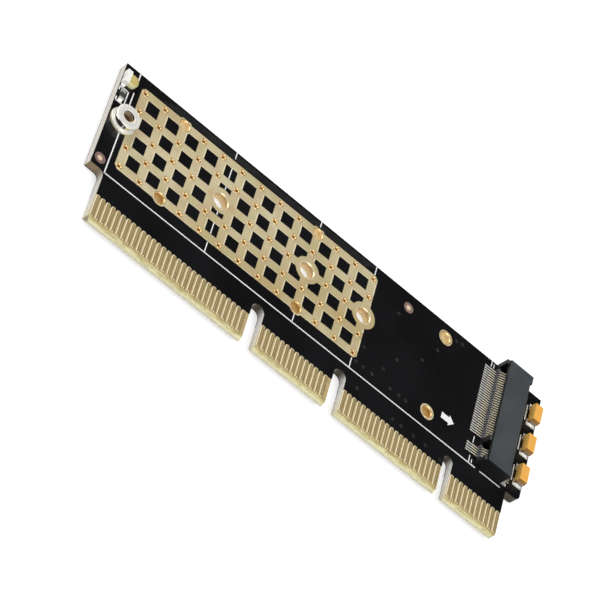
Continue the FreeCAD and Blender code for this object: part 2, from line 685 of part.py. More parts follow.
def make_socket():
    """Moulded housing: lip, roof, end walls, key, rear corner blocks and locating pegs."""
    roof = "(%s + socket_height)" % FRONT
    lip = "(%s + lip_height)" % FRONT
    ceiling = "(%s + lip_height + slot_height)" % FRONT
    roof_front = "(%s + roof_setback)" % SOCKET_X
    outside = "(%s - 1)" % SOCKET_X
    piece = body("socket_housing")
    profile = sketch(piece, "side_profile", "XZ_Plane", "-(%s)" % POST_Y)
    polygon(profile, [
        (SOCKET_X, FRONT), (SOCKET_BACK, FRONT), (SOCKET_BACK, roof), (roof_front, roof),
        (roof_front, "%s - ear_drop" % roof), (SOCKET_X, "%s - ear_drop" % roof),
    ])
    pad(piece, "block", profile, "socket_length", symmetric=True)
    for name, side in (("far", 1), ("near", -1)):
        box(piece, "corner_" + name, "(%s + ear_depth / 2)" % SOCKET_BACK,
            "(%s + (%d) * (socket_length - ear_width) / 2)" % (POST_Y, side), FRONT,
            "ear_depth", "ear_width", "socket_height")
    inner = "(socket_length / 2 - end_wall)"
    long_slot = "(%s + key_offset - key_width / 2)" % inner
    short_slot = "(%s - key_offset - key_width / 2)" % inner
    mouth = [
        (outside, "%s - mouth_flare" % lip), (SOCKET_X, "%s - mouth_flare" % lip),
        ("%s + mouth_flare" % SOCKET_X, lip), (SLOT_END, lip), (SLOT_END, ceiling),
        ("%s + mouth_flare" % roof_front, ceiling), (roof_front, "%s + mouth_flare" % ceiling),
        (roof_front, "%s + 1" % roof), (outside, "%s + 1" % roof),
    ]
    channel(piece, "slot_long", mouth, "(%s + %s - %s / 2)" % (POST_Y, inner, long_slot), long_slot)
    channel(piece, "slot_short", mouth, "(%s - %s + %s / 2)" % (POST_Y, inner, short_slot), short_slot)
    for name, middle, length in contact_channels():
        under = rectangle(outside, "%s - 1" % FRONT, "(%s + riser_gap_start + riser_gap)" % SOCKET_X,
                          "(%s + base_gap)" % FRONT)
        riser = rectangle("(%s + riser_gap_start)" % SOCKET_X, "%s - 1" % FRONT,
                          "(%s + riser_gap_start + riser_gap)" % SOCKET_X, lip)
        rear = rectangle("(%s + back_wall)" % SLOT_END, "%s - 1" % FRONT, "(%s + 1)" % SOCKET_BACK,
                         ceiling)
        window = rectangle(SLOT_END, "(%s - 3 * strip)" % ceiling, "(%s + back_wall)" % SLOT_END,
                           ceiling)
        channel(piece, "under_" + name, under, middle, length)
        channel(piece, "riser_" + name, riser, middle, length)
        channel(piece, "rear_" + name, rear, middle, length)
        channel(piece, "window_" + name, window, middle, length)
    for side, diameter in PEGS:
        disc(piece, diameter, PEG_X, "%s + (%d) * peg_offset" % (POST_Y, side),
             "%s - peg_length" % FRONT, "%s / 2" % diameter, "peg_length + base_gap")


def contact_channels():
    """Room for the two groups of contacts in the housing: name, middle and length."""
    long_top = "(upper_first + group_margin)"
    long_low = "(lower_first - (long_group - 1) * pin_step - group_margin)"
    short_low = "(-upper_first - group_margin)"
    short_top = "(-upper_first + (upper_short_group - 1) * pin_step + group_margin)"
    groups = []
    for name, low, high in (("long", long_low, long_top), ("short", short_low, short_top)):
        groups.append((name, "(%s + (%s + %s) / 2)" % (POST_Y, low, high), "(%s - %s)" % (high, low)))
    return groups


def strip_contacts(label, corners, groups):
    """A row of bent contacts in two groups, cut from strip and repeated at the pin step."""
    piece = body(label)
    for name, first, count in groups:
        drawing = sketch(piece, name + "_profile", "XZ_Plane", "-(%s)" % first)
        polygon(drawing, corners)
        contact = pad(piece, name + "_contact", drawing, "strip_width", symmetric=True)
        row(piece, name + "_row", contact, "pin_step", count, "Y_Axis")


def make_socket_contacts():
    """Lower contacts run under the lip and turn up behind it; upper ones come in from the rear."""
    rows = pad_rows()
    foot = "(%s - foot_length)" % SOCKET_X
    back = "(%s + riser_gap_start + riser_gap / 2 + strip / 2)" % SOCKET_X
    beam = "(%s + lip_height + beam_lift)" % FRONT
    tip = "(%s + 2 * mouth_flare)" % SOCKET_X
    crown = "(%s + 6 * mouth_flare)" % SOCKET_X
    floor = FRONT
    strip_contacts("socket_contacts_lower", [
        (foot, floor), (back, floor), (back, "%s + strip" % beam), (crown, "%s + strip + bump" % beam),
        (tip, beam), (crown, "%s + bump" % beam), ("%s - strip" % back, beam),
        ("%s - strip" % back, "%s + strip" % floor), (foot, "%s + strip" % floor),
    ], [(name, first, count) for name, x, first, count in rows[:2]])
    ceiling = "(%s + lip_height + slot_height - beam_drop)" % FRONT
    foot = "(%s + ear_depth + foot_length)" % SOCKET_BACK
    riser = "(%s + back_wall + strip)" % SLOT_END
    tip = "(%s + roof_setback + 2 * mouth_flare)" % SOCKET_X
    crown = "(%s + roof_setback + 6 * mouth_flare)" % SOCKET_X
    strip_contacts("socket_contacts_upper", [
        (foot, floor), (foot, "%s + strip" % floor), ("%s + strip" % riser, "%s + strip" % floor),
        ("%s + strip" % riser, ceiling), (crown, "%s - bump" % ceiling), (tip, ceiling),
        (crown, "%s - strip - bump" % ceiling),
        (riser, "%s - strip" % ceiling), (riser, floor),
    ], [(name, first, count) for name, x, first, count in rows[2:]])


def make_tabs():
    """Two bent hold-down tabs, soldered to the board behind the socket's rear corners."""
    start = "(%s + ear_depth)" % SOCKET_BACK
    for name, side in (("far", 1), ("near", -1)):
        piece = body("hold_down_" + name)
        middle = "(%s + (%d) * (socket_length - ear_width) / 2)" % (POST_Y, side)
        drawing = sketch(piece, "bent_profile", "XZ_Plane", "-(%s)" % middle)
        polygon(drawing, [
            (start, FRONT), ("%s + tab_foot" % start, FRONT),
            ("%s + tab_foot" % start, "%s + tab_thickness" % FRONT),
            ("%s + tab_thickness" % start, "%s + tab_thickness" % FRONT),
            ("%s + tab_thickness" % start, "%s + tab_rise" % FRONT), (start, "%s + tab_rise" % FRONT),
        ])
        pad(piece, "tab", drawing, "tab_width", symmetric=True)


def turned(piece, name, x, profile):
    """Turns a profile of radius and height about the upright axis of a post hole."""
    drawing = sketch(piece, name + "_profile", "XZ_Plane", "-(%s)" % POST_Y)
    polygon(drawing, [("%s + %s" % (x, radius), height) for radius, height in profile])
    axis = Part.LineSegment(FreeCAD.Vector(value(x), 0, 0), FreeCAD.Vector(value(x), 1, 0))
    index = drawing.addGeometry(axis, True)
    fix_point(drawing, index, 1, x, "0")
    fix_point(drawing, index, 2, x, "1")
    feature = piece.newObject("PartDesign::Revolution", name)
    feature.Profile = drawing
    feature.ReferenceAxis = (drawing, ["Axis0"])
    feature.Angle = 360
    return feature


def make_post():
    """The nut that the drive's end is screwed to, and the screw that holds it from the back."""
    seat = COPPER_TOP
    top = "(%s + nut_height)" % FRONT
    piece = body("post_nut")
    turned(piece, "nut", POST_80, [
        ("nut_bore / 2", "%s - nut_shank_length" % seat), ("nut_shank / 2", "%s - nut_shank_length" % seat),
        ("nut_shank / 2", seat), ("nut_flange / 2", seat),
        ("nut_flange / 2", "%s + nut_flange_height - nut_edge" % seat),
        ("nut_flange / 2 - nut_edge", "%s + nut_flange_height" % seat),
        ("nut_waist / 2", "%s + nut_flange_height" % seat),
        ("nut_waist / 2", "%s - nut_top_height" % top), ("nut_top / 2", "%s - nut_top_height" % top),
        ("nut_top / 2", "%s - nut_edge" % top), ("nut_top / 2 - nut_edge", top),
        ("nut_bore / 2 + nut_edge", top), ("nut_bore / 2", "%s - nut_edge" % top),
    ])
    piece = body("post_screw")
    turned(piece, "screw", POST_80, [
        ("0", "0"), ("screw_head / 2 - screw_head_edge", "0"), ("screw_head / 2", "screw_head_edge"),
        ("screw_head / 2", "screw_head_height"), ("screw_shank / 2", "screw_head_height"),
        ("screw_shank / 2", "screw_head_height + screw_length"),
        ("0", "screw_head_height + screw_length"),
    ])
    box(piece, "recess_along", POST_80, POST_Y, "0", "recess_span", "recess_width", "recess_depth",
        cut=True)
    box(piece, "recess_across", POST_80, POST_Y, "0", "recess_width", "recess_span", "recess_depth",
        cut=True)


def make_capacitor(index, step):
    """One moulded capacitor: a body with drafted sides and two folded terminals."""
    x = "(%s - capacitor_inset)" % RIGHT
    y = "(%s + capacitor_line + (%d) * capacitor_pitch)" % (BOTTOM, step)
    piece = body("capacitor_body_%d" % index)
    parting = "(%s + lead_rise)" % FRONT
    drawing = sketch(piece, "parting_outline", offset=parting)
    half_width = "capacitor_width / 2"
    half_length = "capacitor_length / 2"
    polygon(drawing, [("%s - %s" % (x, half_width), "%s - %s" % (y, half_length)),
                      ("%s + %s" % (x, half_width), "%s - %s" % (y, half_length)),
                      ("%s + %s" % (x, half_width), "%s + %s" % (y, half_length)),
                      ("%s - %s" % (x, half_width), "%s + %s" % (y, half_length))])
    upper = pad(piece, "upper_half", drawing, "capacitor_height - lead_rise")
    bind(upper, "TaperAngle", "-capacitor_draft")
    lower = pad(piece, "lower_half", drawing, "lead_rise - capacitor_lift")
    lower.Reversed = True
    bind(lower, "TaperAngle", "-capacitor_draft")

    leads = body("capacitor_leads_%d" % index)
    for name, end in (("far", 1), ("near", -1)):
        face = "(%s + (%d) * %s)" % (y, end, half_length)
        outer = "(%s + (%d) * lead_sheet)" % (face, end)
        fold = "(%s - (%d) * lead_fold)" % (face, end)
        drawing = sketch(leads, name + "_profile", "YZ_Plane", x)
        polygon(drawing, [
            (fold, FRONT), (outer, FRONT), (outer, "%s + lead_rise" % FRONT),
            (face, "%s + lead_rise" % FRONT), (face, "%s + lead_sheet" % FRONT),
            (fold, "%s + lead_sheet" % FRONT),
        ])
        pad(leads, name, drawing, "lead_width", symmetric=True)


def make_light():
    """The power light: a white base with a grooved outer side, and a lens with a rounded end."""
    x = "(%s + light_inset)" % LEFT
    y = "(%s + light_line)" % BOTTOM
    piece = body("light_base")
    box(piece, "base", x, y, FRONT, "light_base_width", "light_base_length", "light_base_height")
    box(piece, "groove", "(%s - light_base_width / 2)" % x, y, FRONT, "light_groove",
        "light_groove", "light_base_height", cut=True)
    lens = body("light_lens")
    start = "(%s + light_base_width / 2)" % x
    end = "(%s + lens_reach)" % start
    sides = ("(%s - lens_width / 2)" % y, "(%s + lens_width / 2)" % y)
    box(lens, "block", "(%s + lens_reach / 2)" % start, y, FRONT, "lens_reach", "lens_width",
        "lens_height")
    soften(lens, "Fillet", "round_end", [(end, sides[0]), (end, sides[1])], "Radius", "lens_corner")
    doc.recompute()
    base = lens.Tip
    level = value("%s + lens_height" % FRONT)
    rim = ["Edge%d" % (index + 1) for index, edge in enumerate(base.Shape.Edges)
           if all(abs(vertex.Z - level) < 1e-6 for vertex in edge.Vertexes)
           and edge.CenterOfMass.x > value(start) + 1e-3]
    rounding = lens.newObject("PartDesign::Fillet", "rounding")
    rounding.Base = (base, rim)
    bind(rounding, "Radius", "lens_round")


def make_resistor():
    """The light's resistor: a flat ceramic chip between two metal end caps."""
    x = "(%s + resistor_inset)" % LEFT
    y = "(%s + resistor_line)" % BOTTOM
    chip = body("resistor_chip")
    box(chip, "chip", x, y, FRONT, "resistor_width", "resistor_length - 2 * resistor_cap",
        "resistor_height")
    caps = body("resistor_caps")
    for name, end in (("far", 1), ("near", -1)):
        box(caps, name, x, "(%s + (%d) * (resistor_length - resistor_cap) / 2)" % (y, end), FRONT,
            "resistor_width", "resistor_cap", "resistor_height")


via_drill = make_via_drill()
make_laminate(via_drill)
make_lacquer()
make_grid(via_drill)
make_contacts()
make_post_rings()
make_round_pads()
make_solder_pads()
make_socket()
make_socket_contacts()
make_tabs()
make_post()
for number, place in ((1, -1), (2, 0), (3, 1)):
    make_capacitor(number, place)
make_light()
make_resistor()
doc.recompute()

faults = [thing.Name for thing in doc.Objects if "Invalid" in thing.State or "Error" in thing.State]
if faults:
    raise RuntimeError("These objects did not build: " + ", ".join(faults))
for node in nodes:
    if node.Shape.isNull() or not node.Shape.isValid() or not node.Shape.Solids:
        raise RuntimeError("This piece has no valid solid: " + node.Label)

os.makedirs("parts", exist_ok=True)
for node in nodes:
    node.Shape.exportStep(os.path.join("parts", node.Label + ".step"))
    print(node.Label, len(node.Shape.Solids), "solids", round(node.Shape.Volume, 3), "mm3")
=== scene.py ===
"""Dresses the adapter card for a studio picture: finishes, printing, plated holes, solder and the stage."""
import math

import bmesh
import bpy
from mathutils import Matrix, Vector


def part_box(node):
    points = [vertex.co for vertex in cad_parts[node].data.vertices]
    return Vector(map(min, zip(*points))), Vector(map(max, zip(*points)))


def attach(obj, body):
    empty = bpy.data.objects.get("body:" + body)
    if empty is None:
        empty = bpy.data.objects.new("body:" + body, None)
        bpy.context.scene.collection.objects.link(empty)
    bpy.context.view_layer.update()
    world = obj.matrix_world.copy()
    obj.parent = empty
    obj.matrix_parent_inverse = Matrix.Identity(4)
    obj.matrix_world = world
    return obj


bl_info = {
    "name": "Adapter Card Dressing",
    "version": (1, 0, 0),
    "blender": (4, 5, 0),
    "location": "3D View > Sidebar > Card",
    "description": "Adds the finishes and fine detail of an adapter card, and a studio to show it in",
    "category": "Object",
}

MM = 0.001
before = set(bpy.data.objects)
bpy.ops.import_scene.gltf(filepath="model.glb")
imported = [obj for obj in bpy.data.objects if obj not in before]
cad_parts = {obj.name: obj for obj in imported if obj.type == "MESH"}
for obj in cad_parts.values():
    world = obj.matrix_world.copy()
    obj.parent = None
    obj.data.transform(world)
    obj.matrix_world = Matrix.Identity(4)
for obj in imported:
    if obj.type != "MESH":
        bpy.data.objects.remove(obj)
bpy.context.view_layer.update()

# Levels and places that the fixed frame gives
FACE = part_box("lacquer_front")[1].z
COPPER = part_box("heat_grid")[1].z
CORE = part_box("heat_grid")[0].z
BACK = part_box("lacquer_back")[0].z
CORE_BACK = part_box("board_laminate")[0].z
LEFT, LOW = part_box("board_laminate")[0].xy
CONTACT_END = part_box("edge_contacts_front")[0].y
LACQUER_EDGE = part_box("edge_contacts_front")[1].y
LINE_Y = 0.5 * (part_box("post_nut")[0].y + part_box("post_nut")[1].y)
POST_X = [0.5 * (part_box("post_ring_" + name)[0].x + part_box("post_ring_" + name)[1].x)
          for name in ("80", "60", "42", "30")]
GRID_PITCH = 4.0 * MM
GRID_COLUMNS = 13
GRID_ROWS = 5
GRID_X = POST_X[0] + GRID_PITCH / 2
GRID_Y = LINE_Y - 2 * GRID_PITCH
PIN_X = [GRID_X + (2 + 7 * step) * GRID_PITCH for step in range(3)]
PIN_Y = [LINE_Y - 2 * GRID_PITCH, LINE_Y + 2 * GRID_PITCH]
SOCKET_LOW, SOCKET_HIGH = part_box("socket_housing")
CONTACT_PITCH = 1.0 * MM
CONTACT_WIDTH = 0.72 * MM
CONTACT_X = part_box("edge_contacts_front")[0].x + CONTACT_WIDTH / 2
TOOLING_RADIUS = 1.0 * MM
TOOLING = [(LEFT + 1.3 * MM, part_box("tooling_pads")[0].y + TOOLING_RADIUS),
           (LEFT + 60.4 * MM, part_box("tooling_pads")[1].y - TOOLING_RADIUS)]
ORIGIN_X = LEFT + 2.8 * MM
ORIGIN_Y = LACQUER_EDGE - 0.2 * MM

# Outlines of small turned shapes, as radius and height above the copper or the face, in millimetres
VIA_LIP = ((0.22, -0.17), (0.28, -0.09), (0.35, -0.01), (0.41, 0.035), (0.47, 0.05), (0.52, 0.03),
           (0.56, 0.0), (0.38, 0.0))
PIN_LIP = ((0.84, -0.2), (0.9, -0.07), (0.99, 0.01), (1.046, 0.035), (1.102, 0.028), (1.15, 0.0),
           (0.99, 0.0))
POST_LIP = ((1.27, -0.2), (1.34, -0.07), (1.445, 0.01), (1.50625, 0.035), (1.5675, 0.028), (1.62, 0.0),
            (1.445, 0.0))
PLUG = ((0.3, 0.0), (0.44, 0.0), (0.4, 0.028), (0.3, 0.035), (0.18, 0.007), (0.06, -0.007))
COVERED_DOME = ((0.34, 0.0), (0.27, 0.012), (0.17, 0.014), (0.09, 0.004))

# Distances under which points are welded, or count as level
WELD = 0.0004 * MM
TINY = 0.001 * MM

# Height of a hole's lip, and how far round a pin hole or a post hole the grid has no vias
LIP_RISE = 0.035 * MM
PIN_REACH = 1.3 * MM
POST_REACH = 2.6 * MM

# Lacquer between the heads of the edge contacts, whose runs are given as first contact and count
CONTACT_RUNS = ((0, 30), (33, 14), (50, 21), (73, 11))
RUN_END = 0.12 * MM
SCALLOP_DEPTH = 0.5 * MM
SCALLOP_RADIUS = 0.495 * MM

# Thread in the nut's bore
NUT_BORE = 1.0 * MM
THREAD_DEPTH = 0.2 * MM
THREAD_PITCH = 0.4 * MM
THREAD_SQUASH = 0.485
THREAD_TURNS = 2
THREAD_STEPS = 48
THREAD_START = 0.05 * MM

# Printed arrow, and traces under the lacquer
ARROW_SHAFT = 1.15 * MM
ARROW_SPREAD = 2.1 * MM
ARROW_HEAD = 1.1 * MM
TRACE_WIDTH = 0.22 * MM
TRACE_RISE = 0.008 * MM

# The socket's rows of contacts, each a short and a long group
STRIP_WIDTH = 0.22 * MM
PIN_STEP = 0.5 * MM
LONG_GROUP = 29
SHORT_GROUP = {"lower": 4, "upper": 5}

# Lacquer dams between the socket's pads, ribs of its comb, and the toes and tips of its contacts
DAM_WIDTH = 0.24 * MM
DAM_RISE = 0.07 * MM
DAM_END = 0.1 * MM
RIB_WIDTH = 0.2 * MM
RIB_PROUD = 0.12 * MM
RIB_BACK = 0.3 * MM
RIB_LOW = 0.22 * MM
RIB_HIGH = 0.8 * MM
TOE_REACH = 0.55 * MM
TOE_WIDTH = 0.25 * MM
TOE_RISE = 0.05 * MM
TIP_START = 0.2 * MM
TIP_END = 1.0 * MM
SLOT_FLOOR = 0.75 * MM

# Solder fillets as width, reach and rise in millimetres, and how a fillet draws in step by step
CONTACT_SOLDER = (0.25, 0.42, 0.1)
TAB_SOLDER = ((0.7, 0.22, 0.12), (0.7, 0.3, 0.12))
PART_SOLDER = {
    "capacitor_leads_1": (1.7, 0.42, 0.3), "capacitor_leads_2": (1.7, 0.42, 0.3),
    "capacitor_leads_3": (1.7, 0.42, 0.3), "resistor_caps": (0.8, 0.35, 0.34),
    "light_base": (0.7, 0.38, 0.4),
}
WEDGE_STEPS = ((0.12, 0.72, 0.96), (0.32, 0.58, 0.94), (0.62, 0.5, 0.92), (1.0, 0.4, 0.85))

# Where a finish changes, measured from the edge or the level that it follows
YELLOW_REACH = 4.5 * MM
# Right of this, a side is a notch's wall and takes painted light
NOTCH_START = 5.0 * MM
FOOT_LINE = (0.16 * MM, 0.04 * MM)
FOOT_START = 1.0 * MM
END_BAND = (0.2 * MM, 0.1 * MM)
# How far along the board the painted shade on the sides that face -Y deepens
LOW_SIDE_SHADE_SPAN = 28.0 * MM
BEVEL_BAND = 0.7 * MM
PALE_SPAN = 26.0 * MM
HALO_RADIUS = 0.85 * MM
SQUARE_EDGE = 0.85 * MM / GRID_PITCH
# Width of the painted highlight along a square's sides, in shares of the grid's pitch
RIM_HIGHLIGHT_WIDTH = 0.22 * MM / GRID_PITCH
# Where the painted highlight spot on a contact's low end fades
DOT_REACH = (0.16 * MM, 0.1 * MM)
BORE_FADE = (0.02 * MM, 0.12 * MM)
# Radii of a greyer ring on the nut's top
TOP_GREY_RING = (1.33 * MM, 1.55 * MM)
# Depths below the socket's roof over which its painted shade comes in
ROOF_SHADE_FADE = (0.5 * MM, 1.0 * MM)
THIN_COAT = 0.02 * MM

# Patterns: cells in a metre, and how far a pattern is drawn out along each axis
LAYER_CELLS = (600.0, 600.0, 9000.0)
WEAVE_CELLS = 2600.0
WEAVE_DRAW = (0.25, 1.0, 1.0)
FIBRE_CELLS = 3200.0
CONTACT_DRAW = (1.0, 0.35, 1.0)

# Marks on an edge contact, in shares of the pitch from its middle line or above its head's middle: painted
# highlights on its left side, at a spot on its low end and round its head, and darker lines along both sides
CONTACT_SIDE_HIGHLIGHT = (-0.18, -0.23)
CONTACT_DOT_HIGHLIGHT = (-0.08, 0.16)
CONTACT_LINES = ((-0.2, -0.12), (0.26, 0.36))
HEAD_RING = (0.28, 0.42)
HEAD_START = (0.02, 0.12)

# Tones beside the colours that a user may change
# The next three tones are for the sides that face -Y: painted shade, pale at the left end and dark towards
# the right, and a near black at their foot
LOW_SIDE_SHADE_DARK = (0.062, 0.055, 0.044)
LOW_SIDE_SHADE_PALE = (0.33, 0.25, 0.15)
LOW_SIDE_FOOT = (0.006, 0.006, 0.005)
BEVEL_KHAKI = (0.45, 0.37, 0.14)
BEVEL_CREAM = (0.86, 0.80, 0.48)
END_CREAM = (1.0, 0.96, 0.72)
SIDE_YELLOW = (0.88, 0.80, 0.50)
SIDE_GREY = (0.30, 0.28, 0.25)
SIDE_FLECK = (0.55, 0.47, 0.35)
# Painted shade for the nut's bore
NUT_BORE_SHADE = (0.10, 0.045, 0.015)
# Tones down the holes' bores: the darker ones are partly the plating's own tone and partly painted shade
HOLE_BORE_SHADE = (0.52, 0.28, 0.08)
PIN_BORE_SHADE = (0.72, 0.45, 0.15)
PIN_PALE = (1.0, 0.80, 0.46)
POST_BORE_SHADE = (0.80, 0.60, 0.33)
# A pale tone for the painted highlights on the grid's squares and on the edge contacts
RIM_HIGHLIGHT = (1.0, 0.88, 0.60)
WARM_COPPER = (0.62, 0.40, 0.17)
LATTICE_DRIFTS = ((310.0, (0.62, 0.42, 0.30)), (270.0, (0.50, 0.49, 0.20)))
# Painted light and painted shade for the capacitors' faces
CAPACITOR_SIDE_LIGHT = (1.0, 0.60, 0.14)
CAPACITOR_END_SHADE = (0.42, 0.20, 0.04)
# Painted highlight for the lens's rim
LENS_RIM_HIGHLIGHT = (1.0, 0.93, 0.55)


def spot(across, up):
    """A point of the board from its place, in millimetres, right of and above the first contact's corner."""
    return ORIGIN_X + across * MM, ORIGIN_Y + up * MM


# Printed lines and ticks, and the vias and traces that show under the lacquer
LONG_LINES = [
    (spot(-0.2, 4.55), spot(77.2, 4.55)), (spot(78.2, 4.55), spot(82.7, 4.55)),
    (spot(-0.06, 4.55), spot(-0.06, 13.2)),
    (spot(-0.06, 18.2), spot(-0.06, 22.15)), (spot(-0.06, 24.7), spot(-0.06, 26.4)),
]
TICKS = [(spot(across, low), spot(across, high)) for across, low, high in (
    (19.86, 4.6, 6.7), (19.86, 8.6, 10.85), (19.86, 12.65, 13.3),
    (19.86, 18.15, 18.8), (19.86, 20.6, 22.85), (19.86, 25.0, 26.4),
    (37.86, 4.6, 6.3), (37.86, 25.2, 26.4), (49.86, 4.6, 6.6), (49.86, 24.6, 26.4),
    (75.7, 4.6, 6.1), (75.7, 8.7, 10.1), (75.7, 25.2, 26.4), (76.25, 4.85, 5.6), (76.25, 25.2, 26.1))]
FRAME_LINES = [
    (spot(-2.7, 21.45), spot(-0.95, 21.45)), (spot(-0.95, 18.45), spot(-0.95, 21.5)),
    (spot(-2.7, 18.45), spot(-0.95, 18.45)), (spot(-2.6, 18.4), spot(-2.6, 19.2)),
    (spot(-2.6, 20.7), spot(-2.6, 21.45)),
] + [(spot(84.5, line - 1.6), spot(84.5, line + 1.6)) for line in (9.15, 15.6, 22.05)]
COVERED_VIAS = (
    (56.1, 21.2), (64.9, 20.2), (62.6, 16.2), (58.0, 12.6), (51.5, 10.2), (50.8, 6.6), (52.3, 6.6),
    (54.2, 6.6), (60.0, 6.6), (61.5, 6.6), (60.0, 1.6), (61.8, 1.6), (64.5, 1.6), (67.1, 1.6),
    (68.0, 24.7), (69.3, 25.0), (52.3, 2.1), (70.4, 1.1), (58.1, 6.6), (56.0, 9.1))
COVERED_TRACES = [
    (spot(5.0 + 1.2 * index, 25.0 + 0.42 * index), spot(48.0 + 0.9 * index, 25.0 + 0.42 * index))
    for index in range(3)]
ARROW_TAIL = spot(68.6, 9.25)
ARROW_TIP = spot(71.3, 9.25)

# Camera, floor and light, with the angles of the studio's dark side in degrees
CAMERA_PLACE = (-0.18604, -0.32698, 0.30776)
CAMERA_AIM = (-0.00392, -0.0013, FACE)
FLOOR_SIZE = 6.0
FLOOR_GREY = 0.5
FLOOR_GLOW = 0.7
WORLD_LIGHT = 0.42
WORLD_DARK = 0.02
DARK_CORE = 26.0
DARK_EDGE = 58.0
LAMPS = {  # place, breadth and power
    "window": ((-0.72, 0.55, 0.45), 0.9, 7.0),
    "overhead": ((0.33, -0.48, 0.9), 0.8, 7.0),
}


def colour_prop(name, description, default):
    """A colour that a user may change."""
    return bpy.props.FloatVectorProperty(name=name, description=description, default=default,
                                         subtype="COLOR", size=3, min=0.0, max=1.0)


def length_prop(name, description, default):
    """A length that a user may change, in metres."""
    return bpy.props.FloatProperty(name=name, description=description, default=default,
                                   subtype="DISTANCE", unit="LENGTH", min=0.0)


class CardColours(bpy.types.PropertyGroup):
    """Colours of the card's finishes."""
    laminate: colour_prop("Laminate", "Cut edge of the glass-fibre board", (0.88, 0.85, 0.78))
    lacquer: colour_prop("Lacquer", "Black solder lacquer", (0.0058, 0.0058, 0.0066))
    grid: colour_prop("Heat grid", "Bare plated copper grid", (0.58, 0.45, 0.22))
    grid_pale: colour_prop("Heat grid, pale", "Paler patches of the grid", (0.74, 0.65, 0.42))
    contact: colour_prop("Edge contact", "Gold edge contacts", (0.50, 0.38, 0.185))
    hole_gold: colour_prop("Plated hole", "Gold of the plated holes", (0.92, 0.66, 0.32))
    tooling: colour_prop("Tooling pad", "Pinkish bare copper of the small round pads", (0.47, 0.32, 0.26))
    solder: colour_prop("Solder", "Bright solder", (0.90, 0.88, 0.82))
    # The spring contacts' pale colour is partly painted light, to show them in the socket's shade
    spring: colour_prop("Spring contact", "Gold-flashed spring contacts", (0.93, 0.86, 0.66))
    nickel: colour_prop("Nickel", "Nickel plating of the post", (0.93, 0.91, 0.85))
    socket: colour_prop("Socket", "Black moulding of the drive socket", (0.058, 0.065, 0.069))
    capacitor: colour_prop("Capacitor", "Orange-yellow moulded body", (1.0, 0.51, 0.105))
    light_base: colour_prop("Light base", "White moulding of the power light", (1.0, 0.98, 0.92))
    light_lens: colour_prop("Light lens", "Yellow resin lens of the power light", (0.70, 0.58, 0.22))
    printing: colour_prop("Printing", "White printed lines", (0.95, 0.95, 0.94))


class CardSizes(bpy.types.PropertyGroup):
    """Sizes of the fine detail."""
    line_width: length_prop("Line width", "Width of the long printed line", 0.21 * MM)
    tick_width: length_prop("Tick width", "Width of the printed ticks", 0.18 * MM)
    print_height: length_prop("Print height", "Thickness of the printing", 0.012 * MM)


class CardStudio(bpy.types.PropertyGroup):
    """Light and camera."""
    world_strength: bpy.props.FloatProperty(name="World", description="Strength of the studio's light",
                                            default=1.0, min=0.0)
    lens: bpy.props.FloatProperty(name="Lens", description="Focal length in millimetres on a 36 mm frame",
                                  default=190.56, min=10.0)
    roll: bpy.props.FloatProperty(name="Roll", description="Turn of the camera about its view",
                                  default=math.radians(58.206), subtype="ANGLE", unit="ROTATION")


def colours():
    """The colours set for the scene."""
    return bpy.context.scene.card_colours


def sizes():
    """The sizes set for the scene."""
    return bpy.context.scene.card_sizes


# Shader helpers

def new_group(name, inputs, outputs):
    """An empty shader node group with named sockets, each given as (kind, name, default)."""
    group = bpy.data.node_groups.new(name, "ShaderNodeTree")
    for kind, label, default in inputs:
        socket = group.interface.new_socket(name=label, in_out="INPUT", socket_type="NodeSocket" + kind)
        socket.default_value = default
    for kind, label in outputs:
        group.interface.new_socket(name=label, in_out="OUTPUT", socket_type="NodeSocket" + kind)
    return group, group.nodes.new("NodeGroupInput"), group.nodes.new("NodeGroupOutput")


def join(tree, source, target):
    """Links an output socket to an input socket."""
    tree.links.new(source, target)


def math_node(tree, operation, first, second=None, third=None):
    """A maths node on sockets or numbers."""
    node = tree.nodes.new("ShaderNodeMath")
    node.operation = operation
    for index, value in enumerate((first, second, third)):
        if value is None:
            continue
        if isinstance(value, (int, float)):
            node.inputs[index].default_value = value
        else:
            join(tree, value, node.inputs[index])
    return node.outputs[0]


def mix_colour(tree, factor, first, second):
    """A mix by a socket's factor, of two sockets or plain colours."""
    node = tree.nodes.new("ShaderNodeMix")
    node.data_type = "RGBA"
    for value, socket in ((factor, node.inputs[0]), (first, node.inputs[6]), (second, node.inputs[7])):
        if isinstance(value, bpy.types.NodeSocket):
            join(tree, value, socket)
        else:
            socket.default_value = (*value, 1.0)
    return node.outputs[2]


def tint(tree, tone, mask, share, colour):
    """Mixes a share of a colour into a tone where a mask is 1."""
    return mix_colour(tree, math_node(tree, "MULTIPLY", mask, share), tone, colour)


def noise(tree, vector, scale, detail=3.0):
    """Noise of a number of cells per metre."""
    node = tree.nodes.new("ShaderNodeTexNoise")
    node.inputs["Scale"].default_value = scale
    node.inputs["Detail"].default_value = detail
    join(tree, vector, node.inputs["Vector"])
    return node.outputs["Fac"]


def ramp(tree, value, low, high):
    """Spreads a value between two limits over 0 to 1."""
    node = tree.nodes.new("ShaderNodeMapRange")
    node.inputs["From Min"].default_value = low
    node.inputs["From Max"].default_value = high
    join(tree, value, node.inputs["Value"])
    return node.outputs["Result"]


def mask_above(tree, value, level, width):
    """A soft mask: 0 below a level and 1 above it."""
    return ramp(tree, value, level - width / 2, level + width / 2)


def band(tree, value, low, high):
    """1 between two limits and 0 outside them."""
    return math_node(tree, "MULTIPLY", math_node(tree, "GREATER_THAN", value, low),
                     math_node(tree, "LESS_THAN", value, high))


def split(tree, vector):
    """The three coordinates of a vector."""
    node = tree.nodes.new("ShaderNodeSeparateXYZ")
    join(tree, vector, node.inputs[0])
    return node.outputs


def own_normal(tree):
    """The way the surface faces on its object, as three coordinates."""
    return split(tree, tree.nodes.new("ShaderNodeTexCoord").outputs["Normal"])


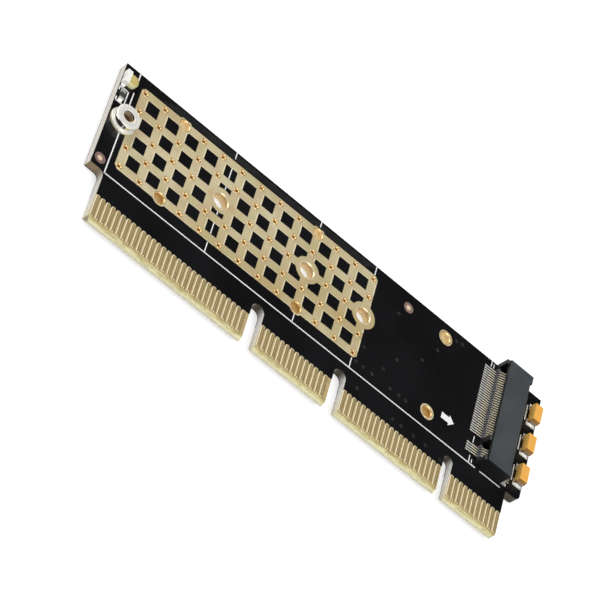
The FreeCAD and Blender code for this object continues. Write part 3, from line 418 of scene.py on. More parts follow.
def stretched(tree, place, factors):
    """The place on the object scaled by a factor along each axis."""
    node = tree.nodes.new("ShaderNodeMapping")
    node.inputs["Scale"].default_value = factors
    join(tree, place, node.inputs["Vector"])
    return node.outputs["Vector"]


def count_steps(tree, value, start, pitch):
    """Counts a value in steps of a pitch: the steps, and how far they are from a whole number."""
    steps = math_node(tree, "DIVIDE", math_node(tree, "SUBTRACT", value, start), pitch)
    return steps, math_node(tree, "SUBTRACT", steps, math_node(tree, "ROUND", steps))


def distance(tree, across, up):
    """How far away a point is, from its distances along the two axes."""
    return math_node(tree, "SQRT", math_node(tree, "ADD", math_node(tree, "MULTIPLY", across, across),
                                             math_node(tree, "MULTIPLY", up, up)))


def distance_to(tree, parts, x, y):
    """How far a place on the object is from an upright axis."""
    return distance(tree, math_node(tree, "SUBTRACT", parts["X"], x),
                    math_node(tree, "SUBTRACT", parts["Y"], y))


def grain_group():
    """Drift of colour and fine grain that nearly every finish of the card uses."""
    group, enter, leave = new_group("Surface grain", [
        ("Vector", "Vector", (0.0, 0.0, 0.0)), ("Color", "Colour", (0.5, 0.5, 0.5, 1.0)),
        ("Color", "Second colour", (0.5, 0.5, 0.5, 1.0)), ("Float", "Patch scale", 150.0),
        ("Float", "Grain scale", 6000.0), ("Float", "Rough low", 0.3), ("Float", "Rough high", 0.5),
    ], [("Color", "Colour"), ("Float", "Roughness"), ("Float", "Height")])
    patches = group.nodes.new("ShaderNodeTexNoise")
    patches.inputs["Detail"].default_value = 2.0
    join(group, enter.outputs["Vector"], patches.inputs["Vector"])
    join(group, enter.outputs["Patch scale"], patches.inputs["Scale"])
    grain = group.nodes.new("ShaderNodeTexNoise")
    grain.inputs["Detail"].default_value = 4.0
    join(group, enter.outputs["Vector"], grain.inputs["Vector"])
    join(group, enter.outputs["Grain scale"], grain.inputs["Scale"])
    spread = ramp(group, patches.outputs["Fac"], 0.35, 0.65)
    tone = mix_colour(group, spread, enter.outputs["Colour"], enter.outputs["Second colour"])
    join(group, tone, leave.inputs["Colour"])
    blend = math_node(group, "ADD", math_node(group, "MULTIPLY", grain.outputs["Fac"], 0.6),
                      math_node(group, "MULTIPLY", spread, 0.4))
    span = math_node(group, "SUBTRACT", enter.outputs["Rough high"], enter.outputs["Rough low"])
    rough = math_node(group, "ADD", enter.outputs["Rough low"], math_node(group, "MULTIPLY", span, blend))
    join(group, rough, leave.inputs["Roughness"])
    join(group, grain.outputs["Fac"], leave.inputs["Height"])


def lattice_group():
    """Masks over the heat grid: near a via, and a painted highlight along the left and upper sides of each
    lacquer square.
    """
    group, enter, leave = new_group("Lattice masks", [("Vector", "Vector", (0.0, 0.0, 0.0))],
                                    [("Float", "Via"), ("Float", "Rim highlight")])
    parts = split(group, enter.outputs["Vector"])
    columns, across = count_steps(group, parts["X"], GRID_X, GRID_PITCH)
    rows, up = count_steps(group, parts["Y"], GRID_Y, GRID_PITCH)
    reach = HALO_RADIUS / GRID_PITCH
    join(group, ramp(group, distance(group, across, up), reach, 0.5 * reach), leave.inputs["Via"])
    column, row = math_node(group, "FRACT", columns), math_node(group, "FRACT", rows)
    # Painted highlight along the left and upper sides of each square, left out near the posts
    far_edge = 1.0 - SQUARE_EDGE
    left = math_node(group, "MULTIPLY", band(group, row, SQUARE_EDGE, far_edge),
                     band(group, column, SQUARE_EDGE - RIM_HIGHLIGHT_WIDTH, SQUARE_EDGE))
    upper = math_node(group, "MULTIPLY", band(group, column, SQUARE_EDGE, far_edge),
                      band(group, row, far_edge, far_edge + 0.8 * RIM_HIGHLIGHT_WIDTH))
    rim_highlight = math_node(group, "MAXIMUM", left, math_node(group, "MULTIPLY", upper, 0.75))
    for x in POST_X:
        far = math_node(group, "GREATER_THAN", distance_to(group, parts, x, LINE_Y), POST_REACH)
        rim_highlight = math_node(group, "MULTIPLY", rim_highlight, far)
    join(group, rim_highlight, leave.inputs["Rim highlight"])


def finish_named(name):
    """The material made for a finish."""
    return bpy.data.materials["card_" + name]


def material(name, roughness, metallic=0.0):
    """Makes a material, and gives its tree, its shader and the place on the object that it reads."""
    finish = bpy.data.materials.new("card_" + name)
    finish.use_nodes = True
    tree = finish.node_tree
    shader = tree.nodes["Principled BSDF"]
    shader.inputs["Roughness"].default_value = roughness
    shader.inputs["Metallic"].default_value = metallic
    return tree, shader, tree.nodes.new("ShaderNodeTexCoord").outputs["Object"]


def add_relief(tree, shader, height, strength, depth):
    """Bumps a shader's surface by a height."""
    relief = tree.nodes.new("ShaderNodeBump")
    relief.inputs["Strength"].default_value = strength
    relief.inputs["Distance"].default_value = depth
    join(tree, height, relief.inputs["Height"])
    join(tree, relief.outputs["Normal"], shader.inputs["Normal"])


def use_grain(tree, shader, place, first, second, patch, grain, rough, bump=0.0, depth=THIN_COAT / 2):
    """Drives a shader with the grain group, with a bump if asked, and gives the colour it puts out."""
    node = tree.nodes.new("ShaderNodeGroup")
    node.node_tree = bpy.data.node_groups["Surface grain"]
    join(tree, place, node.inputs["Vector"])
    for name, value in (("Colour", (*first, 1.0)), ("Second colour", (*second, 1.0)), ("Patch scale", patch),
                        ("Grain scale", grain), ("Rough low", rough[0]), ("Rough high", rough[1])):
        node.inputs[name].default_value = value
    join(tree, node.outputs["Colour"], shader.inputs["Base Color"])
    join(tree, node.outputs["Roughness"], shader.inputs["Roughness"])
    if bump:
        add_relief(tree, shader, node.outputs["Height"], bump, depth)
    return node.outputs["Colour"]


def shade(colour, factor):
    """A colour made lighter or darker."""
    return tuple(min(1.0, channel * factor) for channel in colour)


# Modelling helpers

def edit_mode():
    """Opens the active object's mesh for editing."""
    bpy.ops.object.mode_set(mode="EDIT")


def object_mode():
    """Closes the mesh that is being edited."""
    bpy.ops.object.mode_set(mode="OBJECT")


def pick_all():
    """In edit mode, selects everything."""
    bpy.ops.mesh.select_all(action="SELECT")


def fix_place():
    """Writes the place, turn and scale of the selected object into its mesh."""
    bpy.ops.object.transform_apply(location=True, rotation=True, scale=True)


def clear_selection():
    """Back to object mode with nothing selected."""
    if bpy.context.object and bpy.context.object.mode != "OBJECT":
        object_mode()
    bpy.ops.object.select_all(action="DESELECT")


def select_only(piece):
    """Makes one object the selected and active one."""
    clear_selection()
    piece.select_set(True)
    bpy.context.view_layer.objects.active = piece


def pick_points(test, everything=False):
    """In edit mode, keeps only the selected points that pass a test, or picks among all of them."""
    mesh = bmesh.from_edit_mesh(bpy.context.object.data)
    for point in mesh.verts:
        point.select_set((everything or point.select) and bool(test(point.co)))
    mesh.select_flush_mode()
    bmesh.update_edit_mesh(bpy.context.object.data)


def pull(offset):
    """In edit mode, extrudes what is selected along an offset."""
    bpy.ops.mesh.extrude_region_move(TRANSFORM_OT_translate={"value": offset})


def squeeze(factors, centre):
    """In edit mode, scales what is selected about a point."""
    bpy.ops.transform.resize(value=factors, center_override=centre)


def tidy_mesh():
    """In edit mode, merges doubled points and turns all faces outwards."""
    pick_all()
    bpy.ops.mesh.remove_doubles(threshold=WELD)
    bpy.ops.mesh.normals_make_consistent(inside=False)


def add_modifier(kind, **values):
    """Adds a modifier to the active object and applies it."""
    piece = bpy.context.object
    modifier = piece.modifiers.new(kind.title(), kind)
    for name, value in values.items():
        setattr(modifier, name, value)
    bpy.ops.object.modifier_apply(modifier=modifier.name)


def repeat(count, step):
    """Repeats the active object's mesh along a step."""
    add_modifier("ARRAY", count=count, use_relative_offset=False, use_constant_offset=True,
                 constant_offset_displace=step)


def smooth(angle):
    """Smooths the active object's shading, apart from edges sharper than an angle."""
    bpy.ops.object.shade_smooth_by_angle(angle=math.radians(angle))


def keep(name, finish):
    """Finishes the active object as a piece of the card, with its place in its mesh."""
    piece = bpy.context.object
    select_only(piece)
    fix_place()
    piece.name = name
    piece.data.name = name
    piece.data.materials.clear()
    piece.data.materials.append(finish_named(finish))
    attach(piece, "root")


def merge(pieces):
    """Joins two or more objects into the first of them."""
    clear_selection()
    for piece in pieces:
        piece.select_set(True)
    bpy.context.view_layer.objects.active = pieces[0]
    bpy.ops.object.join()
    return bpy.context.object


def bars(runs, width, low, height):
    """Flat bars between pairs of points: squares drawn out along their runs, then pulled up together."""
    clear_selection()
    for index, (start, end) in enumerate(runs):
        first, last = Vector((*start, low)), Vector((*end, low))
        along = (last - first).normalized()
        middle = first + along * width / 2
        bpy.ops.mesh.primitive_plane_add(size=width, location=middle,
                                         rotation=(0.0, 0.0, math.atan2(along.y, along.x)))
        if index == 0:
            fix_place()
            edit_mode()
        pick_points(lambda point: (point - middle).dot(along) > 0.0)
        bpy.ops.transform.translate(value=last - first - along * width)
    pick_all()
    pull((0.0, 0.0, height))
    tidy_mesh()
    object_mode()
    return bpy.context.object


def rings(centre, outline, segments=24):
    """A turned shape: a circle drawn out ring by ring along an outline of (radius, height) points.

    The end rings are capped, unless the outline comes back to its start. Leaves the object in object mode.
    """
    clear_selection()
    radius, height = outline[0]
    bpy.ops.mesh.primitive_circle_add(vertices=segments, radius=radius, fill_type="NOTHING",
                                      location=(centre[0], centre[1], height))
    fix_place()
    edit_mode()
    pick_all()
    for new_radius, new_height in outline[1:]:
        bpy.ops.mesh.extrude_edges_move(TRANSFORM_OT_translate={"value": (0.0, 0.0, new_height - height)})
        factor = new_radius / radius
        squeeze((factor, factor, 1.0), (centre[0], centre[1], new_height))
        radius, height = new_radius, new_height
    tidy_mesh()
    bpy.ops.mesh.fill_holes(sides=0)
    bpy.ops.mesh.normals_make_consistent(inside=False)
    object_mode()
    return bpy.context.object


def outline_of(profile, level):
    """The outline for a turned shape, from radii and heights in millimetres above a level."""
    return [(radius * MM, level + rise * MM) for radius, rise in profile]


def barrel(place, lip, segments):
    """A hole's plated barrel: up its bore, over its lip and back down its wall to the board's back."""
    outline = outline_of(lip, COPPER)
    back = [(outline[-1][0], CORE_BACK), (outline[0][0], CORE_BACK)]
    return rings(place, outline + back + outline[:1], segments)


# Finishes

def make_laminate_finish():
    """Glass-fibre board: pale layered sides, painted light on the walls inside the notches, painted shade on
    the sides that face -Y, a yellow bevel and a tan top.
    """
    tree, shader, place = material("laminate", 0.5)
    shader.inputs["Specular IOR Level"].default_value = 0.15
    look = colours()
    normal = own_normal(tree)
    parts = split(tree, place)
    layers = noise(tree, stretched(tree, place, LAYER_CELLS), 1.0, 2.0)
    weave = noise(tree, stretched(tree, place, WEAVE_DRAW), WEAVE_CELLS)
    fibres = noise(tree, place, FIBRE_CELLS)
    fleck = ramp(tree, fibres, 0.42, 0.62)
    foot = ramp(tree, parts["Z"], CORE_BACK + FOOT_LINE[0], CORE_BACK + FOOT_LINE[1])
    edge = mix_colour(tree, ramp(tree, layers, 0.35, 0.65), shade(look.laminate, 0.86), look.laminate)
    # Painted light: the walls inside the notches are made paler to offset the shade they stand in
    notch_light = math_node(tree, "GREATER_THAN", parts["X"], LEFT + NOTCH_START)
    edge = tint(tree, edge, notch_light, 0.8, shade(look.laminate, 1.25))
    edge = tint(tree, edge, ramp(tree, parts["Y"], LOW + YELLOW_REACH, LOW), 0.8, SIDE_YELLOW)
    edge = tint(tree, edge, fleck, 0.35, SIDE_FLECK)
    edge = tint(tree, edge, foot, 0.8, SIDE_GREY)
    # Painted shade on the sides that face -Y, deeper towards the right end; the low end face takes a pale
    # cream, and above it the foot of these sides is near black
    low_side_shade = mix_colour(tree, ramp(tree, parts["X"], LEFT, LEFT + LOW_SIDE_SHADE_SPAN), LOW_SIDE_SHADE_PALE, LOW_SIDE_SHADE_DARK)
    low_end = ramp(tree, parts["Y"], LOW + END_BAND[0], LOW + END_BAND[1])
    low_side_shade = mix_colour(tree, low_end, low_side_shade, END_CREAM)
    low_side_shade = tint(tree, low_side_shade, fleck, 0.25, shade(LOW_SIDE_SHADE_PALE, 0.8))
    above_end = math_node(tree, "GREATER_THAN", parts["Y"], LOW + FOOT_START)
    low_side_shade = tint(tree, low_side_shade, foot, above_end, LOW_SIDE_FOOT)
    edge = mix_colour(tree, ramp(tree, normal["Y"], -0.4, -0.95), edge, low_side_shade)
    speckle = math_node(tree, "SUBTRACT", math_node(tree, "MULTIPLY_ADD", fibres, 0.5, weave), 0.75)
    drop = math_node(tree, "MULTIPLY_ADD", speckle, 2.0, ramp(tree, parts["Y"], LOW + BEVEL_BAND, LOW))
    bevel = mix_colour(tree, drop, BEVEL_KHAKI, BEVEL_CREAM)
    face = mix_colour(tree, ramp(tree, weave, 0.35, 0.65), shade(look.contact, 0.92),
                      shade(look.contact, 1.15))
    face = mix_colour(tree, mask_above(tree, normal["Z"], 0.985, 0.02), bevel, face)
    join(tree, mix_colour(tree, mask_above(tree, normal["Z"], 0.35, 0.2), edge, face),
         shader.inputs["Base Color"])
    join(tree, ramp(tree, layers, -0.6, 1.4), shader.inputs["Roughness"])
    add_relief(tree, shader, layers, 0.25, THIN_COAT)


def make_lacquer_finish():
    """Black glossy lacquer, with the faint orange-peel of a sprayed coat."""
    tree, shader, place = material("lacquer", 0.3)
    shader.inputs["Specular IOR Level"].default_value = 0.3
    look = colours().lacquer
    use_grain(tree, shader, place, look, shade(look, 1.5), patch=90.0, grain=1400.0, rough=(0.22, 0.34),
              bump=0.12, depth=THIN_COAT)


def make_lattice_finish():
    """Gold-flashed copper of the heat grid: satin, warmer round the vias, with a painted highlight along the
    left and upper sides of the squares.
    """
    tree, shader, place = material("grid_copper", 0.4, 0.15)
    look = colours()
    tone = use_grain(tree, shader, place, look.grid, look.grid_pale, patch=70.0, grain=3000.0,
                     rough=(0.32, 0.5), bump=0.15, depth=THIN_COAT)
    masks = tree.nodes.new("ShaderNodeGroup")
    masks.node_tree = bpy.data.node_groups["Lattice masks"]
    join(tree, place, masks.inputs["Vector"])
    pale = ramp(tree, split(tree, place)["X"], GRID_X + PALE_SPAN, GRID_X)
    tone = tint(tree, tone, pale, 0.35, shade(look.grid_pale, 1.12))
    for scale, drift in LATTICE_DRIFTS:
        tone = tint(tree, tone, ramp(tree, noise(tree, place, scale), 0.52, 0.62), 0.3, drift)
    tone = tint(tree, tone, masks.outputs["Via"], 0.45, WARM_COPPER)
    # Painted highlight along the squares' left and upper sides
    tone = tint(tree, tone, masks.outputs["Rim highlight"], 0.85, RIM_HIGHLIGHT)
    join(tree, tone, shader.inputs["Base Color"])


def make_contact_finish():
    """Gold contacts: a grey-tan flat with darker lines along both sides, and painted highlights on its left
    side, round its head and at a spot on its lower end.
    """
    tree, shader, place = material("contact_gold", 0.36, 0.2)
    look = colours().contact
    tone = use_grain(tree, shader, stretched(tree, place, CONTACT_DRAW), look, shade(look, 0.84),
                     patch=900.0, grain=5000.0, rough=(0.3, 0.46), bump=0.2)
    parts = split(tree, place)
    offset = count_steps(tree, parts["X"], CONTACT_X, CONTACT_PITCH)[1]
    # Painted highlights: along the left side, at a spot on the low end and round the head
    side = ramp(tree, offset, *CONTACT_SIDE_HIGHLIGHT)
    end = ramp(tree, parts["Y"], CONTACT_END + DOT_REACH[0], CONTACT_END + DOT_REACH[1])
    dot = math_node(tree, "MULTIPLY", end, band(tree, offset, *CONTACT_DOT_HIGHLIGHT))
    above = math_node(tree, "SUBTRACT", parts["Y"], LACQUER_EDGE - SCALLOP_RADIUS)
    above = math_node(tree, "DIVIDE", math_node(tree, "MAXIMUM", above, 0.0), CONTACT_PITCH)
    reach = distance(tree, offset, above)
    head_highlight = math_node(tree, "MULTIPLY", ramp(tree, reach, *HEAD_RING), ramp(tree, above, *HEAD_START))
    lines = math_node(tree, "MAXIMUM", *(band(tree, offset, *line) for line in CONTACT_LINES))
    tone = tint(tree, tone, lines, 0.7, shade(look, 0.3))
    highlight = math_node(tree, "MAXIMUM", math_node(tree, "MULTIPLY", head_highlight, 0.5),
                       math_node(tree, "MAXIMUM", side, dot))
    join(tree, mix_colour(tree, highlight, tone, RIM_HIGHLIGHT), shader.inputs["Base Color"])
    join(tree, math_node(tree, "MULTIPLY_ADD", highlight, -0.2, 0.2), shader.inputs["Metallic"])


def make_hole_finish(name, mouth, bore, upper_bore=None, satin_rim=False):
    """A plated hole: one gold at its mouth and a darker one down its bore, partly the plating's deeper tone
    and partly painted shade, or another in the upper row.
    """
    tree, shader, place = material(name, 0.25, 0.5)
    tone = use_grain(tree, shader, place, mouth, shade(mouth, 0.85), patch=600.0, grain=4000.0,
                     rough=(0.18, 0.3), bump=0.1)
    parts = split(tree, place)
    # Down the bore the colour darkens: partly the plating's deeper tone, partly painted shade
    depth = ramp(tree, parts["Z"], COPPER - BORE_FADE[0], COPPER - BORE_FADE[1])
    bore_shade = mix_colour(tree, ramp(tree, parts["Y"], *PIN_Y), bore, upper_bore or bore)
    join(tree, mix_colour(tree, depth, tone, bore_shade), shader.inputs["Base Color"])
    if satin_rim:
        sunk = ramp(tree, parts["Z"], COPPER + 0.5 * LIP_RISE, COPPER - 0.5 * LIP_RISE)
        join(tree, math_node(tree, "MULTIPLY_ADD", sunk, 0.4, 0.15), shader.inputs["Metallic"])


def make_socket_finish():
    """Black moulding: spark-eroded matt on top, smooth on its sides, with painted shade on its sides and
    below its roof.
    """
    tree, shader, place = material("socket_plastic", 0.5)
    shader.inputs["Specular IOR Level"].default_value = 0.25
    look = colours().socket
    tone = use_grain(tree, shader, place, look, shade(look, 1.2), patch=220.0, grain=5200.0,
                     rough=(0.42, 0.58), bump=0.35)
    # Painted shade: the sides, and everything below the roof, are made much darker
    side = ramp(tree, own_normal(tree)["Z"], 0.5, 0.2)
    under_roof_shade = ramp(tree, split(tree, place)["Z"], SOCKET_HIGH.z - ROOF_SHADE_FADE[0], SOCKET_HIGH.z - ROOF_SHADE_FADE[1])
    dark = math_node(tree, "MAXIMUM", side, under_roof_shade)
    join(tree, mix_colour(tree, dark, tone, shade(look, 0.08)), shader.inputs["Base Color"])


def make_post_finish():
    """Nickel of the nut and its screw: bright satin tops, mirror sides, a greyer ring on the top, and
    painted shade in the bore over the screw's end.
    """
    tree, shader, place = material("nickel", 0.2)
    look = colours().nickel
    tone = use_grain(tree, shader, place, look, shade(look, 0.94), patch=700.0, grain=5000.0,
                     rough=(0.3, 0.42), bump=0.08)
    parts = split(tree, place)
    reach = distance_to(tree, parts, POST_X[0], LINE_Y)
    # A greyer ring on the nut's top
    tone = tint(tree, tone, band(tree, reach, *TOP_GREY_RING), 0.3, shade(look, 0.5))
    # Painted shade in the nut's bore, over its wall and the screw's end
    bore_shade = math_node(tree, "MULTIPLY", math_node(tree, "LESS_THAN", reach, 1.03 * NUT_BORE),
                      math_node(tree, "GREATER_THAN", parts["Z"], FACE))
    join(tree, mix_colour(tree, bore_shade, tone, NUT_BORE_SHADE), shader.inputs["Base Color"])
    level = mask_above(tree, math_node(tree, "ABSOLUTE", own_normal(tree)["Z"]), 0.5, 0.3)
    join(tree, math_node(tree, "MULTIPLY_ADD", level, -0.85, 1.0), shader.inputs["Metallic"])
    join(tree, math_node(tree, "MULTIPLY_ADD", level, 0.3, 0.1), shader.inputs["Roughness"])


def make_plain_finishes():
    """The finishes that the grain group alone describes."""
    look = colours()
    # Each row: name, two tones, how metallic, roughness from and to, cells of patches and grain, bump
    rows = [
        # The nut's thread, painted a bright cream as painted light against the bore's shade
        ("thread_highlight", (1.0, 0.85, 0.62), (0.9, 0.7, 0.45), 0.3, (0.2, 0.35), 700.0, 4000.0, 0.1),
        # Lacquer over copper: lighter grey, partly its own tone and partly painted sheen
        ("lacquer_over_copper_sheen", (0.022, 0.022, 0.024), (0.034, 0.034, 0.035), 0.0, (0.3, 0.42), 400.0, 3000.0, 0.1),
        ("tooling_copper", look.tooling, shade(look.tooling, 0.8), 0.5, (0.35, 0.5), 500.0, 5000.0, 0.2),
        ("tinned_pad", look.solder, shade(look.solder, 0.8), 0.5, (0.25, 0.45), 900.0, 5000.0, 0.3),
        ("solder", look.solder, shade(look.solder, 0.9), 0.3, (0.16, 0.3), 700.0, 3500.0, 0.2),
        ("tab_steel", look.solder, shade(look.solder, 0.9), 0.55, (0.25, 0.38), 400.0, 6000.0, 0.15),
        # The socket's comb, painted lighter than the moulding as painted light on its lip
        ("comb_plastic_lit", (0.15, 0.15, 0.175), (0.22, 0.22, 0.245), 0.0, (0.3, 0.4), 300.0, 5000.0, 0.1),
        # The capacitors' tinned leads, painted darker as painted shade
        ("lead_tin_shaded", (0.36, 0.33, 0.25), (0.48, 0.45, 0.36), 0.35, (0.3, 0.42), 500.0, 5000.0, 0.1),
        # Plugs in the tooling holes, painted bright as a painted highlight
        ("tooling_plug_highlight", (0.92, 0.70, 0.52), (0.90, 0.62, 0.42), 0.1, (0.3, 0.4), 500.0, 5000.0, 0.1),
        ("printing", look.printing, shade(look.printing, 0.93), 0.0, (0.5, 0.7), 500.0, 6000.0, 0.1),
        ("light_white", look.light_base, shade(look.light_base, 0.94), 0.0, (0.35, 0.5), 500.0, 5000.0, 0.1),
        ("resistor_black", (0.05, 0.05, 0.045), (0.075, 0.075, 0.07), 0.0, (0.3, 0.5), 600.0, 5000.0, 0.2),
    ]
    for name, first, second, metallic, rough, patch, grain, bump in rows:
        tree, shader, place = material(name, rough[0], metallic)
        use_grain(tree, shader, place, first, second, patch=patch, grain=grain, rough=rough, bump=bump)


def make_spring_finish():
    """Gold-flashed spring contacts, with painted shade on the sides that face each other."""
    tree, shader, place = material("spring_contact", 0.28, 0.1)
    look = colours().spring
    tone = use_grain(tree, shader, place, look, shade(look, 0.9), patch=500.0, grain=5000.0,
                     rough=(0.2, 0.32), bump=0.1)
    # Painted shade on the sides that face each other
    side = ramp(tree, math_node(tree, "ABSOLUTE", own_normal(tree)["Y"]), 0.4, 0.8)
    join(tree, mix_colour(tree, side, tone, shade(look, 0.06)), shader.inputs["Base Color"])


def make_capacitor_finish():
    """Orange-yellow moulding, with painted light on the side that faces the socket, which stands in the
    socket's shadow, and painted shade on its ends above its terminals.
    """
    tree, shader, place = material("capacitor_mould", 0.45)
    look = colours().capacitor
    tone = use_grain(tree, shader, place, look, shade(look, 0.93), patch=420.0, grain=5200.0,
                     rough=(0.4, 0.55), bump=0.3)
    normal = own_normal(tree)
    # Painted light on the side that faces the socket, which is in its shadow
    tone = mix_colour(tree, ramp(tree, normal["X"], -0.2, -0.8), tone, CAPACITOR_SIDE_LIGHT)
    # Painted shade on the ends
    end = ramp(tree, math_node(tree, "ABSOLUTE", normal["Y"]), 0.5, 0.9)
    join(tree, mix_colour(tree, end, tone, CAPACITOR_END_SHADE), shader.inputs["Base Color"])


def make_lens_finish():
    """Yellow resin lens: slightly cloudy, with a painted highlight at its rim, and light passing a little
    way in.
    """
    tree, shader, place = material("light_lens", 0.22)
    look = colours().light_lens
    tone = use_grain(tree, shader, place, look, shade(look, 0.85), patch=500.0, grain=3000.0,
                     rough=(0.16, 0.26))
    # Painted highlight round the lens's rim
    rim_highlight = ramp(tree, own_normal(tree)["Z"], 0.9, 0.3)
    join(tree, mix_colour(tree, rim_highlight, tone, LENS_RIM_HIGHLIGHT), shader.inputs["Base Color"])
    for name, value in (("Coat Weight", 0.4), ("Coat Roughness", 0.08), ("Subsurface Weight", 0.25),
                        ("Subsurface Radius", (0.8, 0.7, 0.2)), ("Subsurface Scale", 0.5 * MM)):
        shader.inputs[name].default_value = value


NODE_FINISH = {
    "laminate": ["board_laminate"],
    "lacquer": ["lacquer_front", "lacquer_back", "grid_squares"],
    "grid_copper": ["heat_grid", "pin_pads"],
    "contact_gold": ["edge_contacts_front", "edge_contacts_back"],
    "ring_gold": ["post_ring_80", "post_ring_60", "post_ring_42", "post_ring_30"],
    "tooling_copper": ["tooling_pads"],
    "tinned_pad": ["socket_pads", "component_pads"],
    "socket_plastic": ["socket_housing"],
    "spring_contact": ["socket_contacts_lower", "socket_contacts_upper"],
    "tab_steel": ["hold_down_far", "hold_down_near", "resistor_caps"],
    # The leads' finish is painted shade
    "lead_tin_shaded": ["capacitor_leads_1", "capacitor_leads_2", "capacitor_leads_3"],
    "nickel": ["post_nut", "post_screw"],
    "capacitor_mould": ["capacitor_body_1", "capacitor_body_2", "capacitor_body_3"],
    "light_white": ["light_base"],
    "light_lens": ["light_lens"],
    "resistor_black": ["resistor_chip"],
}


class CARD_OT_finishes(bpy.types.Operator):
    """Makes every finish and gives it to the card's solid pieces"""
    bl_idname = "card.finishes"
    bl_label = "Finishes"

    def execute(self, context):
        grain_group()
        lattice_group()
        make_laminate_finish()
        make_lacquer_finish()
        make_lattice_finish()
        make_contact_finish()
        look = colours()
        make_hole_finish("hole_gold", look.hole_gold, HOLE_BORE_SHADE)
        make_hole_finish("pin_gold", shade(look.hole_gold, 0.95), PIN_BORE_SHADE, PIN_PALE)
        make_hole_finish("ring_gold", shade(look.grid_pale, 1.15), POST_BORE_SHADE, satin_rim=True)
        make_post_finish()
        make_socket_finish()
        make_plain_finishes()
        make_spring_finish()
        make_capacitor_finish()
        make_lens_finish()
        for finish, names in NODE_FINISH.items():
            for name in names:
                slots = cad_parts[name].data.materials
                slots.clear()
                slots.append(finish_named(finish))
        return {"FINISHED"}


# Pieces

class CARD_OT_printing(bpy.types.Operator):
    """Prints the white lines that mark the drive's lengths, and the frames by the light and capacitors"""
    bl_idname = "card.printing"
    bl_label = "Printed Lines"

    def execute(self, context):
        look = sizes()
        for name, runs, width in (("lines", LONG_LINES, look.line_width), ("ticks", TICKS, look.tick_width),
                                  ("frames", FRAME_LINES, look.line_width)):
            bars(runs, width, FACE, look.print_height)
            keep("printed_" + name, "printing")
        return {"FINISHED"}


class CARD_OT_arrow(bpy.types.Operator):
    """Prints the arrow that shows which way the drive goes in"""
    bl_idname = "card.arrow"
    bl_label = "Insertion Arrow"

    def execute(self, context):
        tail, line = ARROW_TAIL
        tip = ARROW_TIP[0]
        neck = tip - ARROW_HEAD
        clear_selection()
        bpy.ops.mesh.primitive_plane_add(size=ARROW_SHAFT, location=(tail + ARROW_SHAFT / 2, line, FACE))
        fix_place()
        edit_mode()
        pick_points(lambda point: point.x > tail + ARROW_SHAFT / 2)
        bpy.ops.transform.translate(value=(neck - tail - ARROW_SHAFT, 0.0, 0.0))
        bpy.ops.mesh.extrude_edges_move(TRANSFORM_OT_translate={"value": (0.0, 0.0, 0.0)})
        squeeze((1.0, ARROW_SPREAD / ARROW_SHAFT, 1.0), (neck, line, FACE))
        bpy.ops.mesh.extrude_edges_move(TRANSFORM_OT_translate={"value": (ARROW_HEAD, 0.0, 0.0)})
        squeeze((1.0, 0.02, 1.0), (tip, line, FACE))
        pick_all()
        pull((0.0, 0.0, sizes().print_height))
        tidy_mesh()
        object_mode()
        keep("printed_arrow", "printing")
        return {"FINISHED"}


class CARD_OT_scallops(bpy.types.Operator):
    """Runs the lacquer down between the heads of the edge contacts, on both faces"""
    bl_idname = "card.scallops"
    bl_label = "Lacquer Scallops"

    def execute(self, context):
        for name, low, high in (("front", CORE, FACE), ("back", BACK, CORE_BACK)):
            strips = []
            for first, count in CONTACT_RUNS:
                left = CONTACT_X + (first - 0.5) * CONTACT_PITCH + RUN_END
                right = CONTACT_X + (first + count - 0.5) * CONTACT_PITCH - RUN_END
                middle = LACQUER_EDGE - SCALLOP_DEPTH / 2
                bars([((left, middle), (right, middle))], SCALLOP_DEPTH, low, high - low)
                strip = bpy.context.object
                bpy.ops.mesh.primitive_cylinder_add(
                    vertices=24, radius=SCALLOP_RADIUS, depth=4.0 * (high - low),
                    location=(CONTACT_X + first * CONTACT_PITCH, LACQUER_EDGE - SCALLOP_RADIUS, high))
                cutter = bpy.context.object
                repeat(count, (CONTACT_PITCH, 0.0, 0.0))
                select_only(strip)
                add_modifier("BOOLEAN", object=cutter, operation="DIFFERENCE", solver="EXACT")
                bpy.data.objects.remove(cutter)
                strips.append(strip)
            merge(strips)
            keep("lacquer_scallops_" + name, "lacquer")
        return {"FINISHED"}


class CARD_OT_vias(bpy.types.Operator):
    """Lines each small hole of the heat grid with its plated barrel and lip"""
    bl_idname = "card.vias"
    bl_label = "Via Barrels"

    def execute(self, context):
        barrel((GRID_X, GRID_Y), VIA_LIP, 24)
        repeat(GRID_COLUMNS, (GRID_PITCH, 0.0, 0.0))
        repeat(GRID_ROWS, (0.0, GRID_PITCH, 0.0))
        edit_mode()
        holes = [(x, LINE_Y, POST_REACH) for x in POST_X] + [(x, y, PIN_REACH) for x in PIN_X for y in PIN_Y]
        pick_points(lambda point: any(math.dist(point.xy, (x, y)) < reach for x, y, reach in holes),
                    everything=True)
        bpy.ops.mesh.delete(type="VERT")
        object_mode()
        smooth(50.0)
        keep("via_barrels", "hole_gold")
        return {"FINISHED"}


class CARD_OT_hole_barrels(bpy.types.Operator):
    """Lines the heat sink's pin holes and the post holes with lipped barrels, and fills the tooling holes"""
    bl_idname = "card.hole_barrels"
    bl_label = "Hole Barrels"

    def execute(self, context):
        rows = (("pin_barrels", [(x, y) for x in PIN_X for y in PIN_Y], PIN_LIP, "pin_gold"),
                ("post_lips", [(x, LINE_Y) for x in POST_X[1:]], POST_LIP, "ring_gold"))
        for name, places, lip, finish in rows:
            merge([barrel(place, lip, 48) for place in places])
            smooth(50.0)
            keep(name, finish)
        plug = [(PLUG[0][0] * MM, CORE_BACK)] + outline_of(PLUG, COPPER)
        merge([rings(place, plug) for place in TOOLING])
        smooth(50.0)
        # The plugs' bright finish is a painted highlight
        keep("tooling_barrels", "tooling_plug_highlight")
        return {"FINISHED"}


